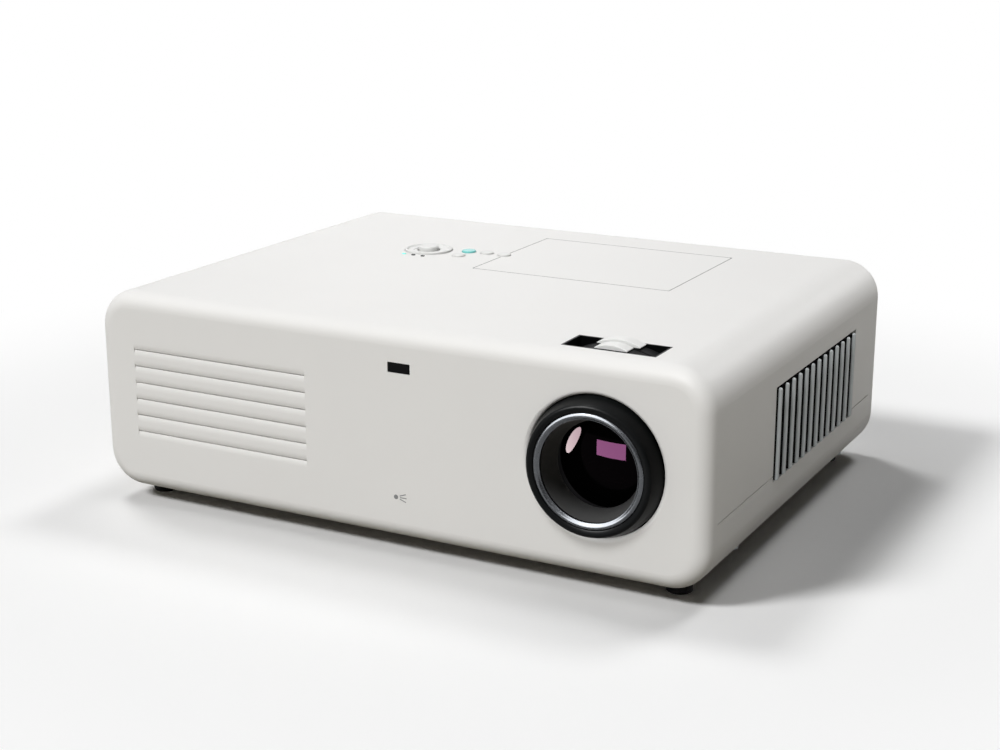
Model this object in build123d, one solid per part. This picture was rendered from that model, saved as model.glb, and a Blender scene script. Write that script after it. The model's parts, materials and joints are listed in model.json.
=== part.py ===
from build123d import *
import os
from math import asin, cos, degrees, radians, sin, sqrt

# Table-top lamp projector. Millimetres, +Z up, front towards -Y, lens on the right (+X).
# The origin lies on the table, under the middle of the whole outline.

# Case
width = 360.0
depth = 272.5
body_height = 111.6
corner_r = 20.9
face_edge_r = 8.8
wall = 2.6
foot_height = 7.5
lens_proud = 8.2
fin_proud = 3.4

left_x = -width / 2
right_x = width / 2
front_y = lens_proud / 2 - depth / 2
rear_y = front_y + depth
base_z = foot_height
top_z = base_z + body_height
inner_x = right_x - wall
inner_front_y = front_y + wall
inner_rear_y = rear_y - wall
floor_z = base_z + wall
ceiling_z = top_z - wall

# Fits
gap = 0.35
seat = 0.3
running = 0.05

# Seam between the two case halves
seam_z = base_z + 33.9
seam_gap = 0.5
seam_front_y = front_y + 13.4
seam_rear_y = rear_y - 16.5
tongue_t = 1.2
tongue_rise = 3.5

# Front louvres
louvre_x0 = left_x + 24.1
louvre_x1 = louvre_x0 + 111.5
louvre_top_z = top_z - 31.5
louvre_pitch = 9.287
louvre_count = 6
louvre_slot = 0.5
louvre_lip, louvre_dip = 3.0, 0.6

# Lens, stations counted backwards from the front face
lens_x = right_x - 58.8
lens_z = top_z - 54.8
bezel_front_r = 32.7
bezel_root_r = 35.5
bezel_lip_r = 1.4
bezel_rear_s = 8.0
lens_hole_r = bezel_root_r + 0.6
lens_hole_lip = 2.2
trim_outer_r = 29.4
trim_inner_r = 25.7
baffle_mouth_r = 25.6
baffle_throat_r = 22.0
baffle_throat_s = 5.7
baffle_t = 1.0
barrel_outer_r = 33.0
barrel_bore_r = 28.0
barrel_rear_s = 78.0
flange_r = 41.0
flange_t = 4.0
focus_travel = 2.0
zoom_travel = 3.0
lens_room = 0.7
cell_lip = 3.0
front_glass_r = 24.0
front_glass_vertex_s = baffle_throat_s + focus_travel + lens_room
front_glass_t = 7.8
front_glass_sag, front_glass_rear_sag = 3.8, 2.0
focus_cell_s = front_glass_vertex_s + front_glass_sag + 0.5
focus_cell_len = 22.0
small_glass_r = 20.0
zoom_glass_t = 9.0
zoom_glass_sag = 2.0
zoom_glass_lead = 1.0
zoom_cell_s = focus_cell_s + focus_cell_len + focus_travel + zoom_travel + zoom_glass_lead + lens_room
zoom_cell_len = 14.0
rear_glass_t = 5.5

# Infrared window
ir_x, ir_z = lens_x - 108.53, top_z - 19.8
ir_w, ir_h, ir_r = 13.1, 5.5, 0.5
ir_recess = 0.4
ir_gap = 0.1

# Dial window and the two rings that reach up into it
window_x0, window_x1 = lens_x - 25.0, lens_x + 25.0
window_s0, window_s1 = 13.3, 34.6
window_wall = 1.0
window_drop = 5.5
ring_r = 37.5
focus_s0, focus_s1 = 16.7, 24.6
focus_half, focus_rise = 8.6, 1.9
focus_swing = 15.0
zoom_s0, zoom_s1 = 25.9, 33.3
zoom_half, zoom_rise = 11.45, 2.7
zoom_swing = 12.0
arm_half = 6.0
shield_t = 1.0
shield_drop = 0.4

# Lamp hatch
hatch_x1 = lens_x - 22.1
hatch_x0 = hatch_x1 - 122.3
hatch_y0, hatch_y1 = front_y + 141.6, rear_y - 34.5
hatch_r = 2.0
hatch_gap = 0.45
ledge_w, ledge_t = 3.0, 2.0
hatch_lip_t, hatch_lip_drop = 1.6, 5.0

# Controls on the top
nav_x, nav_y = hatch_x0 - 47.7, hatch_y0 + 32.6
nav_r = 14.25
nav_proud = 1.1
nav_flange = 1.6
nav_tilt = 1.6
ok_r = 5.87
ok_proud = 2.6
ok_gap = 1.0
key_r = 3.9
power_r = 4.2
key_proud = 1.0
key_travel = 0.8
key_room = 0.2
key_places = {
    "power_key": (hatch_x0 - 23.6, hatch_y0 + 39.0),
    "input_key": (hatch_x0 - 23.6, hatch_y0 + 26.1),
    "menu_key": (hatch_x0 - 11.8, hatch_y0 + 40.1),
    "auto_key": (hatch_x0 - 0.2, hatch_y0 + 39.9),
}
led_w, led_d = 2.2, 1.5
led_places = [
    (nav_x - 7.0, nav_y - 17.3),
    (nav_x - 0.4, nav_y - 17.6),
    (nav_x + 6.1, nav_y - 17.7),
]
key_flange = 1.2
key_flange_t = 1.6
key_board_z = top_z - 14.0
key_board_t = 1.6
key_board_top = key_board_z + key_board_t
switch_h = 3.4
pivot_z = key_board_top + 3.4
pivot_r = 0.8
nav_lean = sqrt(2) * sin(radians(nav_tilt))
nav_hole_gap = 0.1 + (top_z + nav_proud - pivot_z) * nav_lean
nav_flange_gap = 0.2 + (nav_r + nav_flange) * nav_lean

# Vents
exhaust_y0, exhaust_y1 = front_y + 90.4, rear_y - 48.1
vent_z0, vent_z1 = base_z + 30.7, top_z - 30.3
fin_count = 13
fin_t = 3.4
fin_top_gap = 1.2
fin_dome_r = 1.5
grille_border = 4.0
grille_t = 4.0
intake_y0, intake_y1 = front_y + 88.0, rear_y - 64.5
slat_count = 5
cover_lip_r = 1.2
filter_t = 7.0

# Fans
fan_size = 60.0
fan_depth = 15.0
fan_bore_r = fan_size / 2 - 2.0
fan_hole_inset, fan_hole_r = 5.0, 2.1
fan_pair_gap = 5.0
fan_hub_r = 13.0
fan_tip_gap = 0.8
fan_blades = 7
fan_shaft_r = 1.5
fan_z = (vent_z0 + vent_z1) / 2

# Feet
foot_x = right_x - 22.3
foot_front_y = front_y + 23.0
foot_rear_y = rear_y - 23.2
foot_r = 6.6
foot_screw_r = 3.0
foot_travel = 12.0
foot_boss_r = 7.0
foot_boss_h = 9.0

# Fasteners
post_x = right_x - 12.0
post_front_y, post_rear_y = front_y + 68.0, rear_y - 34.5
post_r = 4.0
screw_r = 1.2
screw_hole_r = 1.7
screw_head_r, screw_head_h = 2.8, 2.4
insert_dx, insert_dy = 130.0, 150.0
insert_y = 5.0
insert_r, insert_bore_r, insert_len = 3.0, 2.0, 7.0

# Rear panel and sockets
panel_x0, panel_x1 = -150.0, 150.0
panel_z0, panel_z1 = base_z + 18.0, base_z + 50.0
panel_r = 4.0
panel_border = 3.0
panel_t = 2.0
panel_face_y = inner_rear_y - seat
panel_back_y = panel_face_y - panel_t
socket_proud = 2.4
socket_z = base_z + 29.8
lock_x = panel_x1 - 12.0
usb_x = panel_x1 - 32.0
audio_x = panel_x1 - 46.0
rca_places = [panel_x1 - 88.0, panel_x1 - 74.0, panel_x1 - 60.0]
s_video_x = panel_x1 - 104.0
serial_x = panel_x1 - 128.0
vga_places = [panel_x1 - 196.0, panel_x1 - 162.0]
inlet_x, inlet_z = panel_x0 + 32.0, (panel_z0 + panel_z1) / 2
inlet_w, inlet_h, inlet_d = 28.0, 20.0, 18.0
inlet_cavity_w, inlet_cavity_h, inlet_cavity_d = 24.5, 16.5, 15.0
inlet_flange = 1.0
rocker_x = inlet_x + 30.0
rocker_w, rocker_h = 12.0, 20.0
rocker_face = 4.5
rocker_wall = 1.5
rocker_swing = 14.0

# Boards
board_clearance = 7.0
board_t = 1.6
main_board = (vga_places[0] - 20.0, lock_x + 8.0, rear_y - 46.0, panel_back_y - 0.5)
main_board_z = socket_z - 6.2 - board_t
power_board = (left_x + 34.0, left_x + 108.0, front_y + 30.0, front_y + 190.0)
ballast_board = (left_x + 122.0, left_x + 174.0, front_y + 24.0, front_y + 112.0)
low_board_z = floor_z + board_clearance
standoff_r, standoff_inset = 3.0, 6.0

# Speaker
speaker_x = (louvre_x0 + louvre_x1) / 2
speaker_z = louvre_top_z - (louvre_count - 1) / 2 * louvre_pitch
speaker_r = 25.0

# Lamp
lamp_x0 = hatch_x0 + 27.2
lamp_x1 = lamp_x0 + 72.0
lamp_y0, lamp_y1 = hatch_y0 + 4.0, hatch_y1 - 20.4
lamp_z0, lamp_z1 = lens_z - 34.8, ceiling_z - 12.0
lamp_wall = 2.0
lamp_x = (lamp_x0 + lamp_x1) / 2
lamp_axis_z = lens_z
reflector_mouth_r = 28.0
reflector_depth = lamp_y1 - lamp_y0 - 38.0
reflector_t = 1.8
neck_r = 6.0
bulb_outline = [
    (3.0, 0.94), (3.0, 0.76), (5.5, 0.65), (6.0, 0.56), (5.5, 0.47), (3.0, 0.35), (3.0, 0.18),
    (0.0, 0.18),
]

# Optical tray
tray_x0, tray_x1 = lamp_x0 + 6.0, lens_x + 26.8
tray_y0 = front_y + barrel_rear_s
tray_y1 = lamp_y0
tray_z0, tray_z1 = lens_z - 24.0, lens_z + 22.0
tray_t = 2.5
prism = 28.0
prism_y = tray_y0 + tray_t + 6.0 + prism / 2

lens_plane = Plane(origin=(lens_x, front_y, lens_z), x_dir=(1, 0, 0), z_dir=(0, 0, 1))
lens_axis = Axis((lens_x, front_y, lens_z), (0, 1, 0))


# Helpers
def block(x0, x1, y0, y1, z0, z1):
    centre = Pos((x0 + x1) / 2, (y0 + y1) / 2, (z0 + z1) / 2)
    return centre * Box(x1 - x0, y1 - y0, z1 - z0)


def rod_x(y, z, x0, x1, r):
    return Pos((x0 + x1) / 2, y, z) * Rot(0, 90, 0) * Cylinder(r, x1 - x0)


def rod_y(x, z, y0, y1, r):
    return Pos(x, (y0 + y1) / 2, z) * Rot(90, 0, 0) * Cylinder(r, y1 - y0)


def rod_z(x, y, z0, z1, r):
    return Pos(x, y, (z0 + z1) / 2) * Cylinder(r, z1 - z0)


def tube_z(x, y, z0, z1, r, bore):
    return rod_z(x, y, z0, z1, r) - rod_z(x, y, z0 - 1, z1 + 1, bore)


def plate_z(x0, x1, y0, y1, z0, z1, r):
    outline = RectangleRounded(x1 - x0, y1 - y0, r)
    return Pos((x0 + x1) / 2, (y0 + y1) / 2, z0) * extrude(outline, z1 - z0)


def plate_y(x0, x1, y0, y1, z0, z1, r):
    """A plate with rounded corners that stands across the Y axis."""
    place = Plane(origin=((x0 + x1) / 2, y0, (z0 + z1) / 2), x_dir=(-1, 0, 0), z_dir=(0, 1, 0))
    return extrude(place * RectangleRounded(x1 - x0, z1 - z0, r), y1 - y0)


def plate_x(x0, x1, y0, y1, z0, z1, r):
    """A plate with rounded corners that stands across the X axis."""
    place = Plane(origin=(x0, (y0 + y1) / 2, (z0 + z1) / 2), x_dir=(0, 1, 0), z_dir=(1, 0, 0))
    return extrude(place * RectangleRounded(y1 - y0, z1 - z0, r), x1 - x0)


def turned(points):
    """Turns a closed outline of (radius, station) points about the lens axis."""
    return revolve(lens_plane * make_face(Polyline(*points, close=True)), lens_axis)


def save(name, *solids):
    shape = solids[0] if len(solids) == 1 else Compound(children=list(solids))
    export_step(shape, f"parts/{name}.step")


# Case
def case_form(inset):
    """The outer form of the case, or its inside when inset by the wall."""
    outline = RectangleRounded(width - 2 * inset, body_height - 2 * inset, corner_r - inset)
    place = Plane(
        origin=(0, front_y + inset, base_z + body_height / 2), x_dir=(-1, 0, 0), z_dir=(0, 1, 0)
    )
    form = extrude(place * outline, depth - 2 * inset)
    ends = form.faces().sort_by(Axis.Y)
    return fillet(ends[0].edges() + ends[-1].edges(), face_edge_r - inset)


def tray_zone(rise, ends):
    """The part of the case that belongs to the lower half."""
    return block(
        left_x - 1, right_x + 1, seam_front_y - ends, seam_rear_y + ends, 0, seam_z + rise
    )


def louvre_cutter(z):
    """A slot through the front wall between two lips that roll gently inwards."""
    mouth = louvre_slot + 2 * louvre_lip
    roll_r = (louvre_lip * louvre_lip + louvre_dip * louvre_dip) / (2 * louvre_dip)
    place = Plane(origin=(louvre_x0, front_y, z), x_dir=(0, 1, 0), z_dir=(1, 0, 0))
    throat = Pos(louvre_dip / 2, 0) * Rectangle(louvre_dip, mouth)
    for side in (-1, 1):
        throat -= Pos(roll_r, side * mouth / 2) * Circle(roll_r)
    slot = Pos(wall / 2, 0) * Rectangle(wall + 1, louvre_slot)
    return extrude(place * (throat + slot), louvre_x1 - louvre_x0)


def key_hole_r(name):
    return (power_r if name == "power_key" else key_r) + gap


def make_upper_case(shell):
    case = shell - tray_zone(seam_gap / 2, 0)
    hole = rod_y(lens_x, lens_z, front_y - 1, front_y + 2 * wall, lens_hole_r)
    case -= hole
    rim = case.edges().filter_by(GeomType.CIRCLE)
    rim = rim.filter_by(lambda e: abs(e.radius - lens_hole_r) < 0.01).sort_by(Axis.Y)[0]
    case = fillet(rim, lens_hole_lip)
    for i in range(louvre_count):
        case -= louvre_cutter(louvre_top_z - i * louvre_pitch)
    case -= plate_y(
        ir_x - ir_w / 2, ir_x + ir_w / 2, front_y - 1, front_y + 2 * wall,
        ir_z - ir_h / 2, ir_z + ir_h / 2, ir_r,
    )
    case -= block(
        window_x0, window_x1, front_y + window_s0, front_y + window_s1, ceiling_z - 1, top_z + 1
    )
    case -= plate_z(hatch_x0, hatch_x1, hatch_y0, hatch_y1, ceiling_z - 1, top_z + 1, hatch_r)
    ledge = block(
        hatch_x0 - ledge_w, hatch_x1 + ledge_w, hatch_y0 - ledge_w, hatch_y1 + ledge_w,
        ceiling_z - ledge_t, ceiling_z,
    )
    ledge -= block(
        hatch_x0 + ledge_w, hatch_x1 - ledge_w, hatch_y0 + ledge_w, hatch_y1 - ledge_w,
        ceiling_z - ledge_t - 1, ceiling_z + 1,
    )
    case += ledge
    case -= rod_z(nav_x, nav_y, ceiling_z - 1, top_z + 1, nav_r + nav_hole_gap)
    for name, (x, y) in key_places.items():
        case -= rod_z(x, y, ceiling_z - ledge_t - 1, top_z + 1, key_hole_r(name))
        pocket_r = key_hole_r(name) + key_flange + gap
        case -= rod_z(x, y, ceiling_z - ledge_t - 1, ceiling_z, pocket_r)
    for x, y in led_places:
        case -= block(
            x - led_w / 2, x + led_w / 2, y - led_d / 2, y + led_d / 2, ceiling_z - 1, top_z + 1
        )
    exhaust, intake = vent_cutters(0)
    case -= exhaust + intake
    case -= plate_y(panel_x0, panel_x1, inner_rear_y - 1, rear_y + 1, panel_z0, panel_z1, panel_r)
    for x in (-post_x, post_x):
        for y in (post_front_y, post_rear_y):
            post = rod_z(x, y, seam_z, ceiling_z + wall / 2, post_r) & case_form(wall / 2)
            case += post - rod_z(x, y, seam_z - 1, seam_z + 16, screw_r + running)
    return case


def make_lower_case(shell):
    tray = shell & tray_zone(-seam_gap / 2, 0)
    outer = case_form(0)
    for side in (-1, 1):
        tray += tongue_strip(side, inner_x - seat, seam_z + tongue_rise)
        tray += tongue_strip(side, inner_x, seam_z - seam_gap / 2 - tongue_t)
    vents = vent_cutters(grille_border + 1.0)
    tray -= vents[0] + vents[1]
    for x in (-foot_x, foot_x):
        tray += rod_z(x, foot_front_y, base_z, floor_z + foot_boss_h, foot_boss_r) & outer
        tray -= rod_z(x, foot_front_y, 0, floor_z + foot_boss_h + 1, foot_screw_r + running)
    for x in (-post_x, post_x):
        for y in (post_front_y, post_rear_y):
            tray += rod_z(x, y, base_z + 1, seam_z - seat, post_r) & outer
            tray -= rod_z(x, y, 0, seam_z, screw_hole_r)
            tray -= rod_z(x, y, 0, base_z + screw_head_h + 1, screw_head_r + gap)
    for x, y in insert_places():
        tray += rod_z(x, y, base_z, base_z + insert_len + 1.5, insert_r + 2)
        tray -= rod_z(x, y, 0, base_z + insert_len, insert_r)
    return tray


def tongue_strip(side, outer_face, high_z):
    """The lip along one side of the lower half that closes the seam from inside."""
    root, tip = side * (inner_x - tongue_t - seat), side * outer_face
    return block(
        min(root, tip), max(root, tip), seam_front_y + wall, seam_rear_y - wall,
        seam_z - 2 * tongue_rise, high_z,
    )


def vent_cutters(border):
    """The two side openings, with a clear band inside the walls for what sits behind them."""
    low, high = vent_z0 - border, vent_z1 + border
    exhaust = block(inner_x - 1, right_x + 1, exhaust_y0, exhaust_y1, vent_z0, vent_z1)
    exhaust += block(
        inner_x - 12, inner_x, exhaust_y0 - border, exhaust_y1 + border, low, high
    )
    intake = block(left_x - 1, -inner_x + 1, intake_y0, intake_y1, vent_z0, vent_z1)
    intake += block(
        -inner_x, -inner_x + 12, intake_y0 - border, intake_y1 + border, low, high
    )
    return exhaust, intake


def insert_places():
    return [
        (sx * insert_dx / 2, insert_y + sy * insert_dy / 2) for sx in (-1, 1) for sy in (-1, 1)
    ]


def make_lamp_cover():
    cover = plate_z(
        hatch_x0 + hatch_gap, hatch_x1 - hatch_gap, hatch_y0 + hatch_gap, hatch_y1 - hatch_gap,
        ceiling_z + seat, top_z, hatch_r - hatch_gap,
    )
    inset = ledge_w + hatch_lip_t / 2
    lip = [
        (hatch_x0 + inset, hatch_x1 - inset, y, y + hatch_lip_t)
        for y in (hatch_y0 + inset, hatch_y1 - inset - hatch_lip_t)
    ]
    for x0, x1, y0, y1 in lip:
        cover += block(x0 + 12, x1 - 12, y0, y1, ceiling_z - hatch_lip_drop, ceiling_z + 1)
    x, y = key_places["auto_key"]
    return cover - rod_z(x, y, 0, top_z + 1, key_hole_r("auto_key"))


def make_ir_window():
    return plate_y(
        ir_x - ir_w / 2 + ir_gap, ir_x + ir_w / 2 - ir_gap, front_y + ir_recess,
        front_y + wall + 1, ir_z - ir_h / 2 + ir_gap, ir_z + ir_h / 2 - ir_gap, ir_r - ir_gap,
    ) + block(
        ir_x - ir_w / 2 - 2, ir_x + ir_w / 2 + 2, front_y + wall, front_y + wall + 1.4,
        ir_z - ir_h / 2 - 2, ir_z + ir_h / 2 + 2,
    )


# Lens
def make_lens_bezel():
    """The black outer ring, tapered forwards, with a step inside for the baffle's flange."""
    step_s = -lens_proud + 4.0
    bezel = turned([
        (bezel_root_r, bezel_rear_s), (bezel_root_r, 0.0), (bezel_front_r, -lens_proud),
        (trim_outer_r, -lens_proud), (trim_outer_r, step_s), (barrel_bore_r + 0.6, step_s),
        (barrel_bore_r + 0.6, bezel_rear_s),
    ])
    rim = bezel.edges().filter_by(GeomType.CIRCLE)
    rim = rim.filter_by(lambda e: abs(e.radius - bezel_front_r) < 0.01)
    return fillet(rim, bezel_lip_r)


def make_lens_trim():
    """The bright ring: flat at the back, rolled over in front and sloping towards the glass."""
    back_s = -lens_proud + 2.4
    width_r = trim_outer_r - trim_inner_r
    with BuildSketch(lens_plane) as outline:
        with BuildLine():
            Polyline(
                (trim_inner_r, -lens_proud + 1.3), (trim_inner_r, back_s),
                (trim_outer_r, back_s), (trim_outer_r, -lens_proud + 0.5),
            )
            ThreePointArc(
                (trim_outer_r, -lens_proud + 0.5),
                (trim_inner_r + 0.6 * width_r, -lens_proud - 0.0),
                (trim_inner_r, -lens_proud + 1.3),
            )
        make_face()
    return revolve(outline.sketch, lens_axis)


def make_lens_baffle():
    """The dark inner cone behind the bright ring."""
    flange_s = -lens_proud + 2.4
    step_s = -lens_proud + 4.0
    return turned([
        (trim_outer_r, flange_s), (baffle_mouth_r, flange_s),
        (baffle_throat_r, baffle_throat_s), (baffle_throat_r + baffle_t, baffle_throat_s),
        (baffle_mouth_r + baffle_t, step_s), (trim_outer_r, step_s),
    ])


def make_lens_barrel():
    """The fixed tube, with a rear flange that holds the last glass."""
    return turned([
        (barrel_bore_r, bezel_rear_s), (barrel_outer_r, bezel_rear_s),
        (barrel_outer_r, barrel_rear_s - flange_t), (flange_r, barrel_rear_s - flange_t),
        (flange_r, barrel_rear_s), (small_glass_r, barrel_rear_s),
        (small_glass_r, barrel_rear_s - flange_t),
        (barrel_bore_r, barrel_rear_s - flange_t),
    ])


def fall_at(radius, sag, at_r):
    """How far a spherical face that falls by its sag at its edge has fallen at another radius."""
    sphere_r = (radius * radius + sag * sag) / (2 * sag)
    return sphere_r - sqrt(sphere_r * sphere_r - at_r * at_r)


def lens_disc(radius, front_s, centre_t, front_sag, rear_sag):
    """A glass with one spherical face in front and one behind."""
    with BuildSketch(lens_plane) as outline:
        with BuildLine():
            front_edge = (radius, front_s + front_sag)
            rear_edge = (radius, front_s + centre_t - rear_sag)
            half = radius / 2
            mid_front = (half, front_s + fall_at(radius, front_sag, half))
            mid_rear = (half, front_s + centre_t - fall_at(radius, rear_sag, half))
            ThreePointArc((0, front_s), mid_front, front_edge)
            Line(front_edge, rear_edge)
            ThreePointArc(rear_edge, mid_rear, (0, front_s + centre_t))
            Line((0, front_s + centre_t), (0, front_s))
        make_face()
    return revolve(outline.sketch, lens_axis)


def seat_station(glass_r, vertex_s, centre_t, rear_sag):
    """Where a cell's step meets the rear face of its glass."""
    return vertex_s + centre_t - fall_at(glass_r, rear_sag, glass_r - cell_lip) + running


def make_lens_cell(front_s, length, glass_r, seat_s):
    """A tube that slides in the barrel, with a step that the glass rests against."""
    outer = barrel_bore_r - running
    return turned([
        (outer, front_s), (outer, front_s + length), (glass_r - cell_lip, front_s + length),
        (glass_r - cell_lip, seat_s), (glass_r, seat_s), (glass_r, front_s),
    ])


def lever_outline(half, low, high):
    """The lever's outline between two heights, as wide as the grip at the case's top."""
    root_z, face_z = barrel_outer_r + 1, top_z - lens_z
    slope = (half - arm_half) / (face_z - root_z)
    low_half, high_half = (arm_half + slope * (z - root_z) for z in (low, high))
    return make_face(Polyline(
        (-low_half, low), (low_half, low), (high_half, high), (-high_half, high), close=True
    ))


def make_dial_grip(half, rise, s0, s1):
    """The white finger grip: a low round crown that caps the lever."""
    face_z = top_z - lens_z
    crown_r = (half * half + rise * rise) / (2 * rise)
    crown = Pos(0, face_z + rise - crown_r) * Circle(crown_r)
    crown &= Pos(0, face_z + rise / 2) * Rectangle(2 * half, rise)
    outline = lever_outline(half, face_z - shield_drop, face_z) + crown
    return extrude(dial_plane(s0) * outline, -(s1 - s0))


def dial_plane(s):
    return Plane(origin=(lens_x, front_y + s, lens_z), x_dir=(1, 0, 0), z_dir=(0, -1, 0))


def make_dial_ring(half, s0, s1, swing):
    """The black ring on the barrel, its lever, and the arc that closes the window."""
    bore_r = barrel_outer_r + running
    ring = turned([(bore_r, s0), (ring_r, s0), (ring_r, s1), (bore_r, s1)])
    arc_r = top_z - lens_z - shield_drop
    reach = degrees(asin((window_x1 - window_x0) / 2 / arc_r)) + swing + 1
    sector = make_face(Polyline(
        (0, 0), (2 * arc_r * sin(radians(reach)), 2 * arc_r * cos(radians(reach))),
        (-2 * arc_r * sin(radians(reach)), 2 * arc_r * cos(radians(reach))), close=True,
    ))
    arc = (Circle(arc_r) - Circle(arc_r - shield_t)) & sector
    lever = lever_outline(half, barrel_outer_r + 1, arc_r - shield_t / 2) - Circle(bore_r)
    flat_top = lever_outline(half, arc_r - shield_t, arc_r)
    return ring + extrude(dial_plane(s0) * (arc + lever + flat_top), -(s1 - s0))


def make_dial_window():
    """The black frame that lines the opening over the two rings."""
    x0, x1 = window_x0 + 0.05, window_x1 - 0.05
    y0, y1 = front_y + window_s0 + 0.05, front_y + window_s1 - 0.05
    frame = block(x0, x1, y0, y1, top_z - window_drop, top_z - 0.05)
    return frame - block(
        x0 + window_wall, x1 - window_wall, y0 + window_wall, y1 - window_wall,
        top_z - window_drop - 1, top_z + 1,
    )


# Controls
def make_key(name):
    x, y = key_places[name]
    r = key_hole_r(name) - gap
    flange_z = ceiling_z - seat
    cap = rod_z(x, y, flange_z - 1, top_z + key_proud, r)
    cap = fillet(cap.edges().sort_by(Axis.Z)[-1], 0.5)
    cap += rod_z(x, y, flange_z - key_flange_t, flange_z, r + key_flange)
    return cap + rod_z(x, y, key_board_top + switch_h + key_travel + key_room, flange_z, 1.6)


def make_ok_key():
    """The centre key, guided by a pin that stands on the key board."""
    low_z = key_board_top + key_travel + key_room
    key = rod_z(nav_x, nav_y, low_z, top_z + ok_proud, ok_r)
    key = fillet(key.edges().sort_by(Axis.Z)[-1], 0.8)
    return key - rod_z(nav_x, nav_y, low_z - 1, top_z - 3, 1.5 + running)


def make_nav_ring():
    """A dished ring with a raised outer edge, a flange under the case and two pivot lugs."""
    hole_r = ok_r + ok_gap
    flange_r, flange_z = nav_r + nav_flange, ceiling_z - nav_flange_gap
    low_z = flange_z - 1.5
    place = Plane(origin=(nav_x, nav_y, 0), x_dir=(1, 0, 0), z_dir=(0, -1, 0))
    outline = make_face(Polyline(
        (hole_r, low_z), (flange_r, low_z), (flange_r, flange_z), (nav_r, flange_z),
        (nav_r, top_z + nav_proud - 0.3),
        (nav_r - 0.3, top_z + nav_proud), (nav_r - 1.3, top_z + nav_proud),
        (nav_r - 2.3, top_z + 0.35), (hole_r + 0.6, top_z + 0.35), (hole_r, top_z + 0.05),
        close=True,
    ))
    ring = revolve(place * outline, Axis((nav_x, nav_y, 0), (0, 0, 1)))
    for side in (-1, 1):
        y = nav_y + side * 11.9
        lug = block(nav_x - 1.8, nav_x + 1.8, y - 0.9, y + 0.9, pivot_z - 1.8, low_z + 0.5)
        ring += lug
        ring -= rod_y(nav_x, pivot_z, y - 1, y + 1, pivot_r + running)
    return ring


def make_nav_gimbal():
    """The small ring that lets the navigation ring tip both ways."""
    gimbal = tube_z(nav_x, nav_y, pivot_z - 1.2, pivot_z + 1.2, 10.6, 8.6)
    gimbal += rod_x(nav_y, pivot_z, nav_x - 13.0, nav_x - 9.5, pivot_r)
    gimbal += rod_x(nav_y, pivot_z, nav_x + 9.5, nav_x + 13.0, pivot_r)
    gimbal += rod_y(nav_x, pivot_z, nav_y - 12.8, nav_y - 9.5, pivot_r)
    return gimbal + rod_y(nav_x, pivot_z, nav_y + 9.5, nav_y + 12.8, pivot_r)


def make_key_board():
    """The board under the keys: switches, guide pin, gimbal posts and light diodes."""
    board = block(nav_x - 20, hatch_x0 + 5, nav_y - 21, nav_y + 18, key_board_z, key_board_top)
    switch_top = key_board_top + switch_h
    for x, y in key_places.values():
        board += block(x - 2.2, x + 2.2, y - 2.2, y + 2.2, key_board_top, switch_top - 0.6)
        board += rod_z(x, y, key_board_top, switch_top, 1.4)
    board += rod_z(nav_x, nav_y, key_board_top, top_z - 5, 1.5)
    for side in (-1, 1):
        x = nav_x + side * 12.6
        post = block(x - 0.9, x + 0.9, nav_y - 2, nav_y + 2, key_board_top, pivot_z + 1.8)
        board += post - rod_x(nav_y, pivot_z, x - 2, x + 2, pivot_r + running)
    for x, y in led_places:
        board += block(x - 1, x + 1, y - 0.7, y + 0.7, key_board_top, key_board_top + 1)
    for x in (nav_x - 18, hatch_x0 - ledge_w - 3):
        board += rod_z(x, nav_y - 18.5, key_board_top, ceiling_z, 1.5)
    return board


def light_pipe(x, y):
    """A clear light pipe with a shoulder that bears on the case from inside."""
    w, d = led_w / 2 - 0.1, led_d / 2 - 0.1
    far_w, far_d = w + 0.8, d + 0.8
    pipe = block(x - w, x + w, y - d, y + d, key_board_top + 1.3, top_z + 0.1)
    return pipe + block(x - far_w, x + far_w, y - far_d, y + far_d, ceiling_z - 1.6, ceiling_z)


# Vents
def fin_y(i):
    pitch = (exhaust_y1 - exhaust_y0) / fin_count
    return exhaust_y0 + (i + 0.5) * pitch


def make_exhaust_grille():
    """Upright fins with round noses and domed tops, on a frame behind the case wall."""
    back_x = inner_x - seat - grille_t
    grille = plate_x(
        back_x, inner_x - seat, exhaust_y0 - grille_border, exhaust_y1 + grille_border,
        vent_z0 - grille_border, vent_z1 + grille_border, 2.0,
    )
    grille -= block(
        back_x - 1, inner_x, exhaust_y0 + 0.2, exhaust_y1 - 0.2, vent_z0 + 0.2, vent_z1 - 0.2
    )
    nose_x = right_x + fin_proud - fin_t / 2
    fin_z0, fin_z1 = vent_z0 + 0.2, vent_z1 - fin_top_gap
    outline = Pos((back_x + nose_x) / 2, 0) * Rectangle(nose_x - back_x, fin_t)
    outline += Pos(nose_x, 0) * Circle(fin_t / 2)
    fin = Pos(0, 0, fin_z0) * extrude(outline, fin_z1 - fin_z0)
    fin = fillet(fin.faces().sort_by(Axis.Z)[-1].edges().filter_by(GeomType.CIRCLE), fin_dome_r)
    for z0, z1 in ((vent_z0 - 2, vent_z0 + 0.5), (fin_z1 - 2.5, vent_z1 + 2)):
        fin += block(back_x, inner_x - seat, -fin_t / 2, fin_t / 2, z0, z1)
    for i in range(fin_count):
        grille += Pos(0, fin_y(i), 0) * fin
    return grille


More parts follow.
